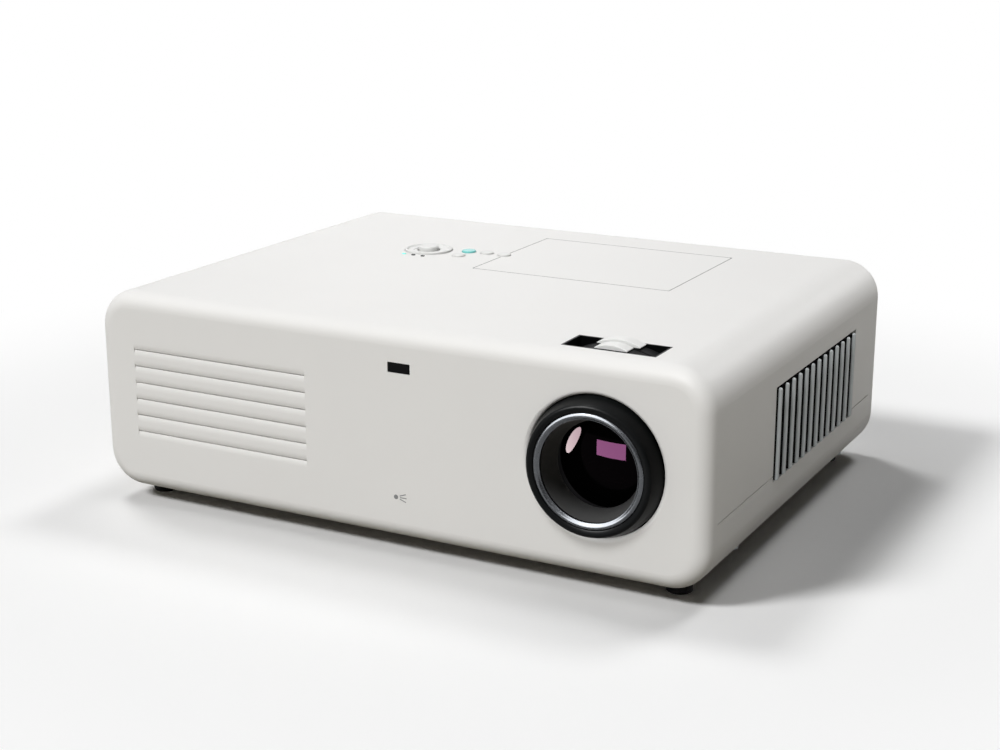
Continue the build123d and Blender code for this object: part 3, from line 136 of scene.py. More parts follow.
def makeFloor():
    bm = bmesh.new()
    bmesh.ops.create_grid(bm, x_segments=1, y_segments=1, size=studio["floorSize"])
    mesh = bpy.data.meshes.new("floor")
    bm.to_mesh(mesh)
    bm.free()
    floor = bpy.data.objects.new("floor", mesh)
    bpy.context.scene.collection.objects.link(floor)
    material = bpy.data.materials.new("whitePaperSweep")
    material.use_nodes = True
    tree = material.node_tree
    shader = tree.nodes["Principled BSDF"]
    path = addNode(tree, "ShaderNodeLightPath")
    seen = addNode(tree, "ShaderNodeMath", {0: path.outputs["Is Camera Ray"],
                   1: path.outputs["Is Glossy Ray"]}, operation="MAXIMUM")
    seen = addNode(tree, "ShaderNodeMath", {0: seen.outputs[0],
                   1: path.outputs["Is Transmission Ray"]}, operation="MAXIMUM")
    tone = addNode(tree, "ShaderNodeMix", {0: seen.outputs[0],
                   6: hexColour(studio["floorBounce"]), 7: hexColour(studio["floorColour"])},
                   data_type="RGBA")
    tree.links.new(tone.outputs[2], shader.inputs["Base Color"])
    shader.inputs["Roughness"].default_value = 0.9
    shader.inputs["Specular IOR Level"].default_value = 0.0
    place = addNode(tree, "ShaderNodeTexCoord").outputs["Object"]
    away = addNode(tree, "ShaderNodeVectorMath", {0: place}, operation="LENGTH")
    fade = addNode(tree, "ShaderNodeMapRange", {"Value": away.outputs["Value"],
                   "From Min": studio["whiteFrom"], "From Max": studio["whiteTo"]},
                   interpolation_type="SMOOTHSTEP")
    shown = addNode(tree, "ShaderNodeMath", {0: fade.outputs[0], 1: seen.outputs[0]},
                    operation="MULTIPLY")
    white = addNode(tree, "ShaderNodeEmission", {"Color": (1, 1, 1, 1), "Strength": 1.0})
    mix = addNode(tree, "ShaderNodeMixShader", {0: shown.outputs[0], 1: shader.outputs[0],
                  2: white.outputs[0]})
    tree.links.new(mix.outputs[0], tree.nodes["Material Output"].inputs["Surface"])
    mesh.materials.append(material)
    return floor


makeCamera()
bpy.context.scene.view_settings.view_transform = "Standard"
makeWorld()
floor = makeFloor()
print("stage made")


# Finishes. Lengths in their dictionaries are millimetres on the real surface.
def startFinish(name, colour, rough, metallic=0.0, specular=0.5, ior=1.5):
    material = bpy.data.materials.new(name)
    material.use_nodes = True
    tree = material.node_tree
    shader = tree.nodes["Principled BSDF"]
    shader.inputs["Base Color"].default_value = hexColour(colour)
    shader.inputs["Roughness"].default_value = rough
    shader.inputs["Metallic"].default_value = metallic
    shader.inputs["Specular IOR Level"].default_value = specular
    if not metallic:
        shader.inputs["IOR"].default_value = ior
    return material, tree, shader, addNode(tree, "ShaderNodeTexCoord").outputs["Object"]


# Moulded plastic: the tool's spark-eroded texture gives fine pits that soften the gloss, and
# the colour drifts by a hair where the melt flowed.
def mouldedPlastic(name, colour, drift, rough, pit=0.5, pitDepth=0.002, ior=1.53, specular=0.5):
    material, tree, shader, place = startFinish(name, colour, rough, ior=ior, specular=specular)
    flow = addNode(tree, "ShaderNodeTexNoise", {"Vector": place, "Scale": 1 / (45 * mm),
                   "Detail": 3.0, "Roughness": 0.5})
    tone = addNode(tree, "ShaderNodeMix", {0: flow.outputs[0], 6: hexColour(drift),
                   7: hexColour(colour)}, data_type="RGBA")
    pits = addNode(tree, "ShaderNodeTexNoise", {"Vector": place, "Scale": 1 / (pit * mm),
                   "Detail": 2.0, "Roughness": 0.6})
    gloss = addNode(tree, "ShaderNodeMapRange", {"Value": pits.outputs[0], "From Min": 0.35,
                    "From Max": 0.65, "To Min": rough - 0.05, "To Max": rough + 0.05})
    bump = addNode(tree, "ShaderNodeBump", {"Height": pits.outputs[0],
                   "Distance": pitDepth * mm, "Strength": 1.0})
    tree.links.new(tone.outputs[2], shader.inputs["Base Color"])
    tree.links.new(gloss.outputs[0], shader.inputs["Roughness"])
    tree.links.new(bump.outputs[0], shader.inputs["Normal"])
    return material


# Metal: rolled, drawn or turned, with fine lines along one axis that stretch its highlights.
def linedMetal(name, colour, shade, rough, line=0.25, stretch=30.0, lineDepth=0.001, along="X"):
    material, tree, shader, place = startFinish(name, colour, rough, metallic=1.0)
    sizes = [stretch if axis == along else 1.0 for axis in "XYZ"]
    laid = addNode(tree, "ShaderNodeMapping", {"Vector": place,
                   "Scale": [1 / (line * mm * s) for s in sizes]})
    lines = addNode(tree, "ShaderNodeTexNoise", {"Vector": laid.outputs[0], "Scale": 1.0,
                    "Detail": 3.0, "Roughness": 0.6})
    tone = addNode(tree, "ShaderNodeMix", {0: lines.outputs[0], 6: hexColour(shade),
                   7: hexColour(colour)}, data_type="RGBA")
    gloss = addNode(tree, "ShaderNodeMapRange", {"Value": lines.outputs[0], "From Min": 0.3,
                    "From Max": 0.7, "To Min": rough * 0.8, "To Max": rough * 1.25})
    bump = addNode(tree, "ShaderNodeBump", {"Height": lines.outputs[0],
                   "Distance": lineDepth * mm, "Strength": 1.0})
    tree.links.new(tone.outputs[2], shader.inputs["Base Color"])
    tree.links.new(gloss.outputs[0], shader.inputs["Roughness"])
    tree.links.new(bump.outputs[0], shader.inputs["Normal"])
    return material


# Rubber: dull, with a fine powdery bloom that lifts the black in patches.
def mouldedRubber(name, colour, bloom, rough, speck=0.4):
    material, tree, shader, place = startFinish(name, colour, rough, specular=0.3, ior=1.52)
    specks = addNode(tree, "ShaderNodeTexNoise", {"Vector": place, "Scale": 1 / (speck * mm),
                     "Detail": 4.0, "Roughness": 0.7})
    tone = addNode(tree, "ShaderNodeMix", {0: specks.outputs[0], 6: hexColour(colour),
                   7: hexColour(bloom)}, data_type="RGBA")
    bump = addNode(tree, "ShaderNodeBump", {"Height": specks.outputs[0],
                   "Distance": 0.01 * mm, "Strength": 1.0})
    tree.links.new(tone.outputs[2], shader.inputs["Base Color"])
    tree.links.new(bump.outputs[0], shader.inputs["Normal"])
    return material


# Glass: clear and polished, with only a trace of haze from handling.
def polishedGlass(name, colour, ior, specular, tint="ffffff", haze=0.015):
    material, tree, shader, place = startFinish(name, colour, 0.0, ior=ior, specular=specular)
    shader.inputs["Transmission Weight"].default_value = 1.0
    shader.inputs["Specular Tint"].default_value = hexColour(tint)
    smear = addNode(tree, "ShaderNodeTexNoise", {"Vector": place, "Scale": 1 / (9 * mm),
                    "Detail": 4.0, "Roughness": 0.6})
    gloss = addNode(tree, "ShaderNodeMapRange", {"Value": smear.outputs[0], "From Min": 0.4,
                    "From Max": 0.8, "To Min": 0.0, "To Max": haze})
    tree.links.new(gloss.outputs[0], shader.inputs["Roughness"])
    return material


# Coated lens: opaque, and its near-black colour is painted shade for the dark inside the barrel,
# under a coating that all but kills reflections, and tints the rest.
def coatedLens(name, paintedInteriorShade, tint, smearSize=7.0):
    material, tree, shader, place = startFinish(name, paintedInteriorShade, 0.02, specular=0.02)
    shader.inputs["Specular Tint"].default_value = hexColour(tint)
    smear = addNode(tree, "ShaderNodeTexNoise", {"Vector": place, "Scale": 1 / (smearSize * mm),
                    "Detail": 4.0, "Roughness": 0.6})
    gloss = addNode(tree, "ShaderNodeMapRange", {"Value": smear.outputs[0], "From Min": 0.4,
                    "From Max": 0.8, "To Min": 0.01, "To Max": 0.035})
    tree.links.new(gloss.outputs[0], shader.inputs["Roughness"])
    return material


# Circuit board: green solder resist over copper tracks that stand up a little through it.
def circuitBoard(name, resist, track, pitch=2.54):
    material, tree, shader, place = startFinish(name, resist, 0.35)
    tracks = addNode(tree, "ShaderNodeTexBrick", {"Vector": place, "Color1": hexColour(resist),
                     "Color2": hexColour(track), "Mortar": hexColour(track),
                     "Scale": 1 / (pitch * 4 * mm), "Mortar Size": 0.012, "Bias": -0.4})
    bump = addNode(tree, "ShaderNodeBump", {"Height": tracks.outputs["Fac"],
                   "Distance": 0.03 * mm, "Strength": 1.0})
    tree.links.new(tracks.outputs["Color"], shader.inputs["Base Color"])
    tree.links.new(bump.outputs[0], shader.inputs["Normal"])
    return material


# Open-cell foam: round pores and paler struts between them; the pores' dark hearts are painted
# shade, for the shade deep in each pore.
def openFoam(name, strut, poreShade, cell=1.3):
    material, tree, shader, place = startFinish(name, strut, 0.95, specular=0.1)
    cells = addNode(tree, "ShaderNodeTexVoronoi", {"Vector": place, "Scale": 1 / (cell * mm)})
    tone = addNode(tree, "ShaderNodeMix", {0: cells.outputs["Distance"], 6: hexColour(poreShade),
                   7: hexColour(strut)}, data_type="RGBA")
    bump = addNode(tree, "ShaderNodeBump", {"Height": cells.outputs["Distance"],
                   "Distance": 0.5 * mm, "Strength": 1.0})
    tree.links.new(tone.outputs[2], shader.inputs["Base Color"])
    tree.links.new(bump.outputs[0], shader.inputs["Normal"])
    return material


finish = {
    # ABS housing, spark-eroded tool: a soft white with no hard highlights
    "white_case": mouldedPlastic("whiteAbsHousing", "e9e8e6", "e6e5e3", 0.48, specular=0.35),
    # the same plastic from a finer tool, so the edges catch a little more light
    "white_grips": mouldedPlastic("whiteAbsGrips", "ebebe9", "e8e8e6", 0.38, pit=0.3),
    # the keys get a greyer white than the case: painted shade, for the shade that falls on the
    # keys
    "white_keys": mouldedPlastic("whiteAbsKeysPaintedShade", "e0e0de", "dcdcda", 0.42, pit=0.3,
                                 specular=0.35),
    # tinted polycarbonate, polished: a clear cyan that glows a little at its rim
    "cyan_key": mouldedPlastic("cyanPolycarbonate", "76cfcb", "6cc8c5", 0.22, pitDepth=0.0005),
    "status_lens": mouldedPlastic("smokedLightPipe", "141516", "101112", 0.15, pitDepth=0.0003),
    # infrared-passing acrylic: looks black and glassy
    "infrared_window": mouldedPlastic("infraredAcrylic", "060506", "040404", 0.10,
                                      pitDepth=0.0003, ior=1.49, specular=0.08),
    # satin black polycarbonate: deep black with a broad soft sheen on its rounded edges
    "black_bezel": mouldedPlastic("satinBlackBezel", "090a0b", "070808", 0.34, pit=0.35,
                                  pitDepth=0.001, specular=0.06),
    # black chrome: grey where it mirrors the room, white only where it mirrors a lamp
    "chrome_ring": linedMetal("blackChromePlate", "5a5c5f", "545659", 0.24, line=0.6, stretch=4.0,
                              lineDepth=0.00005),
    "dark_baffle": mouldedPlastic("flockedBaffle", "545454", "4c4c4c", 0.8, specular=0.06),
    "black_barrel": mouldedPlastic("glassFilledNylon", "19191a", "161617", 0.6, specular=0.1),
    # magenta antireflection coating: nearly no reflection, and what there is comes back tinted
    # the lens's near-black colour is painted shade for the dark inside the barrel
    "coated_glass": coatedLens("coatedLensGlass", "020202", "f0c8e0"),
    "prism_glass": polishedGlass("opticalGlass", "f2f8fa", 1.6, 0.5),
    "grey_fins": mouldedPlastic("silverGreyFins", "c3c8ca", "bfc4c6", 0.40),
    "black_moulding": mouldedPlastic("blackMoulding", "121213", "0f0f10", 0.6, specular=0.2),
    "foot_rubber": mouldedRubber("footRubber", "131313", "1c1c1c", 0.8),
    "bright_steel": linedMetal("zincPlatedSteel", "c9cccf", "b4b8bc", 0.28),
    "brass": linedMetal("turnedBrass", "d8b56c", "c9a45c", 0.28, along="Z"),
    "rear_panel_grey": mouldedPlastic("greyAbsPanel", "8f9193", "8a8c8e", 0.5),
    "computer_blue": mouldedPlastic("bluePolyester", "2f55a8", "2a4d9c", 0.4, pitDepth=0.001),
    "video_black": mouldedPlastic("blackPolyester", "171718", "131314", 0.32, pitDepth=0.001),
    "green_board": circuitBoard("greenSolderResist", "17502f", "2d7a4b"),
    "speaker_cone": mouldedRubber("dopedPaperCone", "1d1b1a", "2b2927", 0.85, speck=0.8),
    "lamp_metal": linedMetal("aluminisedSteel", "babdc0", "a6a9ad", 0.42, along="Z"),
    "lamp_mirror": linedMetal("dichroicMirror", "d3dae6", "c7cfde", 0.10, stretch=2.0),
    # the foam's near-black second colour is painted shade in the pores
    "filter_foam": openFoam("openCellFoam", "55585c", "141516"),
}
slotOf = {part["node"]: part["material_slot"] for part in frame["record"]["subparts"]}
for name, obj in frame["nodes"].items():
    obj.data.materials.clear()
    obj.data.materials.append(finish[slotOf[name]])
print("finishes made:", len(finish))


# Shop tools for the pieces
def turnProfile(bm, profile, centre, steps):
    # profile: (radius, y) pairs, closed, spun about the lens axis or a socket's axis
    cx, cz = centre
    verts = [bm.verts.new((cx + r, y, cz)) for r, y in profile]
    edges = [bm.edges.new((verts[i], verts[(i + 1) % len(verts)])) for i in range(len(verts))]
    bmesh.ops.spin(bm, geom=verts + edges, cent=(cx, 0, cz), axis=(0, 1, 0),
                   angle=2 * math.pi, steps=steps, use_merge=True)


def addBlock(bm, low, high):
    middle = [(a + b) / 2 for a, b in zip(low, high)]
    size = [b - a for a, b in zip(low, high)]
    place = Matrix.Translation(middle) @ Matrix.Diagonal((*size, 1.0))
    return bmesh.ops.create_cube(bm, size=1.0, matrix=place)["verts"]


def roundEdges(bm, edges, radius, segments):
    bmesh.ops.bevel(bm, geom=edges, offset=radius, offset_type="OFFSET", segments=segments,
                    profile=0.5, affect="EDGES", material=-1, clamp_overlap=True)


def sharpEdges(bm, angle):
    limit = math.radians(angle)
    return [e for e in bm.edges if len(e.link_faces) == 2 and e.calc_face_angle(0) > limit]


def finishPiece(name, bm, slotName, body, replaced=(), material=None, creaseAngle=40):
    bmesh.ops.remove_doubles(bm, verts=bm.verts, dist=0.002 * mm)
    bmesh.ops.recalc_face_normals(bm, faces=bm.faces)
    mesh = bpy.data.meshes.new(name)
    bm.to_mesh(mesh)
    bm.free()
    mesh.shade_smooth()
    mesh.set_sharp_from_angle(angle=math.radians(creaseAngle))
    obj = bpy.data.objects.new(name, mesh)
    bpy.context.scene.collection.objects.link(obj)
    evenShade = obj.modifiers.new("evenShade", "WEIGHTED_NORMAL")
    evenShade.keep_sharp = True
    mesh.materials.append(material or finish[slotName])
    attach(obj, body)
    if replaced:
        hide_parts(*replaced)
    return obj


# Lens bezel: a tapered ring with a rolled front lip and a step inside for the bright ring
bezel = {
    "rootRadius": 35.5, "frontRadius": 32.7, "proud": 8.2, "boreRadius": 29.4,
    "stepDepth": 4.0, "rearBore": 28.6, "rearDepth": 8.0, "lipRadius": 1.3, "lipFlat": 1.6,
    "breakIn": 0.5, "breakDepth": 0.35, "boreStart": 0.7,   # the soft edge into the bore
    "steps": 160,
}


def makeBezel():
    b = {key: value * mm for key, value in bezel.items()}
    front = frontY - b["proud"]
    bm = bmesh.new()
    turnProfile(bm, [
        (b["rootRadius"], frontY + b["rearDepth"]), (b["rootRadius"], frontY),
        (b["frontRadius"], front), (b["frontRadius"] - b["lipFlat"], front),
        (b["boreRadius"] + b["breakIn"], front + b["breakDepth"]),
        (b["boreRadius"], front + b["boreStart"]),
        (b["boreRadius"], front + b["stepDepth"]), (b["rearBore"], front + b["stepDepth"]),
        (b["rearBore"], frontY + b["rearDepth"]),
    ], (lensX, lensZ), bezel["steps"])
    lip = [e for e in bm.edges if all(
        abs(v.co.y - front) < 0.01 * mm
        and abs(math.hypot(v.co.x - lensX, v.co.z - lensZ) - b["frontRadius"]) < 0.01 * mm
        for v in e.verts)]
    roundEdges(bm, lip, b["lipRadius"], 6)
    finishPiece("lensBezel", bm, "black_bezel", "case", ["lens_bezel"])


# Bright ring: a half-round bead that rolls over into the bore
brightRing = {
    "outerRadius": 29.4, "innerRadius": 25.7, "backDepth": 2.4, "proud": 8.2, "steps": 192,
    # (radius, depth behind the front), from the outer edge to the inner one
    "face": [(29.4, 1.35), (29.25, 1.0), (29.0, 0.68), (28.7, 0.42), (28.35, 0.24), (28.0, 0.13),
             (27.65, 0.1), (27.3, 0.18), (26.95, 0.37), (26.6, 0.64), (26.3, 0.93), (26.2, 0.98),
             (26.05, 1.0), (25.9, 1.1), (25.78, 1.3), (25.7, 1.6)],
}


def makeBrightRing():
    front = frontY - brightRing["proud"] * mm
    back = front + brightRing["backDepth"] * mm
    face = [(r * mm, front + d * mm) for r, d in brightRing["face"]]
    bm = bmesh.new()
    turnProfile(bm, face + [(brightRing["innerRadius"] * mm, back),
                            (brightRing["outerRadius"] * mm, back)],
                (lensX, lensZ), brightRing["steps"])
    finishPiece("brightRing", bm, "chrome_ring", "case", ["lens_trim_ring"], creaseAngle=50)


# Baffle: the dark cone between the bright ring and the front glass
baffle = {
    "mouthRadius": 25.6, "throatRadius": 22.0, "mouthDepth": 2.4, "throatDepth": 13.9,
    "flangeRadius": 29.4, "flangeDepth": 4.0, "skin": 1.0, "proud": 8.2,
    "throatEdge": 0.25, "throatEdgeDepth": 0.45,   # the soft edge at the throat
    "steps": 160,
}


def makeBaffle():
    b = {key: value * mm for key, value in baffle.items()}
    front = frontY - b["proud"]
    mouth, throat = front + b["mouthDepth"], front + b["throatDepth"]
    flange = front + b["flangeDepth"]
    bm = bmesh.new()
    turnProfile(bm, [
        (b["flangeRadius"], mouth), (b["mouthRadius"], mouth),
        (b["throatRadius"] + b["throatEdge"], throat - b["throatEdgeDepth"]),
        (b["throatRadius"], throat),
        (b["throatRadius"] + b["skin"], throat), (b["mouthRadius"] + b["skin"], flange),
        (b["flangeRadius"], flange),
    ], (lensX, lensZ), baffle["steps"])
    finishPiece("lensBaffle", bm, "dark_baffle", "case", ["lens_baffle"], creaseAngle=30)


# Front glass: a domed lens with a ground edge that sits in the focus cell
frontLens = {"radius": 23.95, "sag": 3.8, "rearSag": 2.0, "middle": 7.8, "edgeBreak": 0.35,
             "rings": 24, "steps": 160}


def makeFrontLens():
    low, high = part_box("front_glass")
    radius, sag, rearSag = [frontLens[key] * mm for key in ("radius", "sag", "rearSag")]
    vertex, rear = low.y, low.y + frontLens["middle"] * mm
    chamfer = frontLens["edgeBreak"] * mm

    def dome(depth, start, sign):
        ball = (radius * radius + depth * depth) / (2 * depth)
        steps = [radius * i / frontLens["rings"] for i in range(frontLens["rings"] + 1)]
        steps[-1] -= chamfer
        return [(r, start + sign * (ball - math.sqrt(ball * ball - r * r))) for r in steps]

    front = dome(sag, vertex, 1)
    back = dome(rearSag, rear, -1)
    outline = front + [(radius, front[-1][1] + chamfer), (radius, back[-1][1] - chamfer)]
    outline += back[::-1]
    bm = bmesh.new()
    verts = [bm.verts.new((lensX + r, y, lensZ)) for r, y in outline]
    edges = [bm.edges.new(pair) for pair in zip(verts, verts[1:])]
    bmesh.ops.spin(bm, geom=verts + edges, cent=(lensX, 0, lensZ), axis=(0, 1, 0),
                   angle=2 * math.pi, steps=frontLens["steps"], use_merge=True)
    return finishPiece("frontLens", bm, "coated_glass", "focus_lens", ["front_glass"])


# Painted shade round the lamp cover: a thin black strip that fills the gap to the top, standing in
# for the shade deep in the gap
gapShade = {"gap": 0.45, "slack": 0.01, "top": -0.02, "deep": 1.6, "keyRoom": 0.4}


def makeGapShade():
    low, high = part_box("lamp_cover")
    # the last key of the row reaches over the gap, so the strip breaks off on both sides of it
    keyLow, keyHigh = [corner.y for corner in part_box("auto_key")]
    room = gapShade["keyRoom"] * mm
    slack, wide = gapShade["slack"] * mm, (gapShade["gap"] - gapShade["slack"]) * mm
    x0, x1, y0, y1 = low.x - wide, high.x + wide, low.y - wide, high.y + wide
    z0, z1 = topZ - gapShade["deep"] * mm, topZ - gapShade["top"] * mm
    thick = wide - slack
    bm = bmesh.new()
    for a, b in (((x0, y0), (x1, y0 + thick)), ((x0, y1 - thick), (x1, y1)),
                 ((x0, y0 + thick), (x0 + thick, keyLow - room)),
                 ((x0, keyHigh + room), (x0 + thick, y1 - thick)),
                 ((x1 - thick, y0 + thick), (x1, y1 - thick))):
        addBlock(bm, (*a, z0), (*b, z1))
    finishPiece("lampCoverSeal", bm, "black_moulding", "case")


# Finger grips of the two dials: crowned, with softened edges
grips = {
    "focusGrip": {"node": "focus_grip", "body": "focus_dial", "half": 8.6, "rise": 1.9},
    "zoomGrip": {"node": "zoom_grip", "body": "zoom_dial", "half": 11.45, "rise": 2.7},
    "softEdge": 0.35,
}


def makeGrip(name):
    spec = grips[name]
    low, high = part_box(spec["node"])
    half, rise = spec["half"] * mm, spec["rise"] * mm
    radius = (half * half + rise * rise) / (2 * rise)
    bm = bmesh.new()
    place = Matrix.Translation((lensX, low.y, topZ + rise - radius))
    place = place @ Matrix.Rotation(math.pi / 2, 4, "X")
    bmesh.ops.create_circle(bm, cap_ends=True, segments=360, radius=radius, matrix=place)
    for point, normal in (((0, 0, low.z), (0, 0, -1)), ((lensX - half, 0, 0), (-1, 0, 0)),
                          ((lensX + half, 0, 0), (1, 0, 0))):
        bmesh.ops.bisect_plane(bm, geom=bm.verts[:] + bm.edges[:] + bm.faces[:],
                               plane_co=point, plane_no=normal, clear_outer=True)
    face = bmesh.ops.extrude_face_region(bm, geom=bm.faces[:])["geom"]
    moved = [v for v in face if isinstance(v, bmesh.types.BMVert)]
    bmesh.ops.translate(bm, verts=moved, vec=(0, high.y - low.y, 0))
    top = [e for e in sharpEdges(bm, 30) if min(v.co.z for v in e.verts) > topZ - 0.05 * mm]
    roundEdges(bm, top, grips["softEdge"] * mm, 4)
    finishPiece(name, bm, "white_grips", spec["body"], [spec["node"]])


# Exhaust fins: black bars in a black frame behind the wall, each with a rounded grey cap; the bars
# and frame are black as painted shade, for the shade deep in the gaps between the fins
fins = {
    "count": 13, "thick": 2.8, "proud": 1.3, "capDepth": 1.5, "barThick": 2.6,
    "frameThick": 4.0, "border": 4.0, "endGap": 1.2, "softEdge": 1.1, "softSegments": 6,
    "lap": 0.2, "barBack": 1.0,   # joints overlap, and bars stay behind frame and caps
}


def makeFins():
    low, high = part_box("exhaust_grille")
    border = fins["border"] * mm
    y0, y1 = low.y + border, high.y - border
    z0, z1 = low.z + border, high.z - border
    frameFront = low.x + fins["frameThick"] * mm
    nose = sideX + fins["proud"] * mm
    capBack, top = nose - fins["capDepth"] * mm, z1 - fins["endGap"] * mm
    halfBar, halfCap = fins["barThick"] * mm / 2, fins["thick"] * mm / 2
    pitch = (y1 - y0) / fins["count"]
    places = [y0 + (i + 0.5) * pitch for i in range(fins["count"])]
    lap, barBack = fins["lap"] * mm, fins["barBack"] * mm
    bm = bmesh.new()
    for a, b in (((low.y, low.z), (high.y, z0 - lap)), ((low.y, z1 + lap), (high.y, high.z)),
                 ((low.y, z0 - lap), (y0, z1 + lap)), ((y1, z0 - lap), (high.y, z1 + lap))):
        addBlock(bm, (low.x, *a), (frameFront, *b))
    for y in places:
        addBlock(bm, (low.x, y - halfBar, z0 - lap),
                 (frameFront - barBack, y + halfBar, z1 + lap))
        addBlock(bm, (low.x, y - halfBar, z0 + lap), (capBack, y + halfBar, top - barBack))
    finishPiece("finFrame", bm, "black_moulding", "case", ["exhaust_grille"])
    bm = bmesh.new()
    for y in places:
        verts = addBlock(bm, (capBack, y - halfCap, z0 + lap), (nose, y + halfCap, top))
        edges = {e for v in verts for e in v.link_edges}
        onNose = {v for v in verts if v.co.x > nose - lap / 2}
        onTop = {v for v in verts if v.co.z > top - lap / 2}
        soft = [e for e in edges if onNose.issuperset(e.verts)
                or onTop.issuperset(e.verts) and onNose.intersection(e.verts)]
        roundEdges(bm, soft, fins["softEdge"] * mm, fins["softSegments"])
    finishPiece("exhaustFins", bm, "grey_fins", "case", ["exhaust_grille"], creaseAngle=35)


makeBezel()
makeBrightRing()
makeBaffle()
makeGrip("focusGrip")
makeGrip("zoomGrip")
makeFins()
makeGapShade()
glass = makeFrontLens()
print("lens front, grips and fins made")


# Status lights: small domed light pipes beside the navigation ring, the first one lit
indicators = {
    # node's solids from the left: centre x and y in mm
    "places": [(-77.9, 24.75), (-71.3, 24.45), (-64.8, 24.35)],
    "width": 2.2, "depth": 1.7, "proud": 0.6, "foot": 7.0, "round": 0.35,
}


def litPipe(name, colour, strength):
    # a clear pipe over a lit diode: its own colour glows a little over the case's white
    material = mouldedPlastic(name, colour, "5fd8c4", 0.2, pitDepth=0.0005)
    shader = material.node_tree.nodes["Principled BSDF"]
    shader.inputs["Emission Color"].default_value = hexColour(colour)
    shader.inputs["Emission Strength"].default_value = strength
    return material


def makeIndicators():
    lit = litPipe("litCyanPipe", "86f0dc", 0.35)
    for i, (x, y) in enumerate(indicators["places"]):
        halfX, halfY = indicators["width"] * mm / 2, indicators["depth"] * mm / 2
        top = topZ + indicators["proud"] * mm
        bm = bmesh.new()
        verts = addBlock(bm, (x * mm - halfX, y * mm - halfY, topZ - indicators["foot"] * mm),
                         (x * mm + halfX, y * mm + halfY, top))
        edges = {e for v in verts for e in v.link_edges}
        soft = [e for e in edges if max(v.co.z for v in e.verts) > top - 0.01 * mm]
        roundEdges(bm, soft, indicators["round"] * mm, 4)
        finishPiece("statusLight%d" % (i + 1), bm, "status_lens", "case", ["status_lights"],
                    material=lit if i == 0 else None)


# Marks: a printed beam pictogram under the infrared window, and a short grey line of painted shade
# on the ring
marks = {
    "beam": {"x": 12.6, "z": 30.6, "lensRadius": 1.25, "lensShift": -2.6, "rayCentre": 1.7,
             "rayLength": 3.84, "rayWidth": 0.51, "fan": 20.0},
    "ringLine": {"x": -78.6, "y": 40.7, "length": 7.2, "width": 0.5, "z": 119.45, "root": 0.1},
    "ink": 0.04, "root": 0.05,   # how far the ink stands out, and how far it reaches in
}


def printAndShadeInk(name, colour):
    # pad-printed ink: a thin matt film, a little uneven where the pad lifted; the same film
    # carries the grey line of painted shade on the ring
    return mouldedPlastic(name, colour, "7d7e7e", 0.6, pit=0.2, pitDepth=0.0005, specular=0.3)


def makeMarks():
    ink = printAndShadeInk("greyPrintAndPaintedShade", "8c8d8e")
    beam = marks["beam"]
    front = frontY - marks["ink"] * mm
    bm = bmesh.new()
    upright = Matrix.Translation((beam["x"] * mm, front, beam["z"] * mm))
    upright = upright @ Matrix.Rotation(math.pi / 2, 4, "X")
    left = Matrix.Translation((beam["lensShift"] * mm, 0, 0))
    bmesh.ops.create_circle(bm, cap_ends=True, segments=32, radius=beam["lensRadius"] * mm,
                            matrix=upright @ left)
    reach = (beam["rayCentre"] - beam["lensShift"]) * mm
    for turn in (-1, 0, 1):
        place = left @ Matrix.Rotation(turn * math.radians(beam["fan"]), 4, "Z")
        place = place @ Matrix.Translation((reach, 0, 0))
        place = place @ Matrix.Diagonal((beam["rayLength"], beam["rayWidth"], 1, 1))
        bmesh.ops.create_grid(bm, x_segments=1, y_segments=1, size=mm / 2, matrix=upright @ place)
    grown = bmesh.ops.extrude_face_region(bm, geom=bm.faces[:])["geom"]
    bmesh.ops.translate(bm, verts=[v for v in grown if isinstance(v, bmesh.types.BMVert)],
                        vec=(0, (marks["ink"] + marks["root"]) * mm, 0))
    finishPiece("beamMark", bm, "grey_fins", "case", material=ink)
    # the grey line on the ring is painted shade, in the same ink film as the print
    line = marks["ringLine"]
    bm = bmesh.new()
    addBlock(bm, ((line["x"] - line["width"] / 2) * mm, (line["y"] - line["length"] / 2) * mm,
                  (line["z"] - line["root"]) * mm),
             ((line["x"] + line["width"] / 2) * mm, (line["y"] + line["length"] / 2) * mm,
              (line["z"] + marks["ink"]) * mm))
    finishPiece("ringMark", bm, "grey_fins", "nav_disc", material=ink)


# Rear sockets: plated shells, posts and collars over the moulded bodies
rear = {
    "socketZ": 37.3, "tip": 139.85, "panelFace": 137.45,
    "dPlaces": {"computerIn": -46.0, "computerOut": -12.0, "serialPort": 22.0},
    "dHalf": (8.2, 4.2), "dTaper": 1.6, "dCorner": 1.1, "shell": 0.28, "lip": 0.4, "rim": 0.4,
    "bodyGap": 0.03, "root": 2.0,
    "post": 2.55, "postReach": 12.5, "threadWall": 1.0, "threadDepth": 1.5,
    "phono": {"yellowPhono": (62.0, "e8c51c"), "whitePhono": (76.0, "e6e6e2"),
              "redPhono": (90.0, "c5281f")},
    "phonoRadius": 4.2, "phonoBore": 1.7, "sVideo": (46.0, 4.6), "jack": (104.0, 3.2, 1.8, 138.45),
    "sleeve": {"out": 0.25, "wall": 0.45, "dinWall": 0.5, "back": 1.0, "front": 0.3},
    "phonoRing": {"in": 0.6, "back": 0.2, "front": 0.12},
    "jackCollar": {"in": 0.1, "back": 0.2, "front": 0.25}, "collarEdge": 0.15,
    "usb": (118.0, 138.05), "usbHalf": (5.9, 5.4), "usbRim": 0.6, "usbDepth": (0.6, 0.15),
    "inlet": (-118.0, 41.5), "blades": ((-7.0, -2.0), (7.0, -2.0), (0.0, 2.0)),
    "bladeHalf": (1.1, 2.1), "bladeReach": (123.6, 136.1), "bladeRound": 0.4,
}


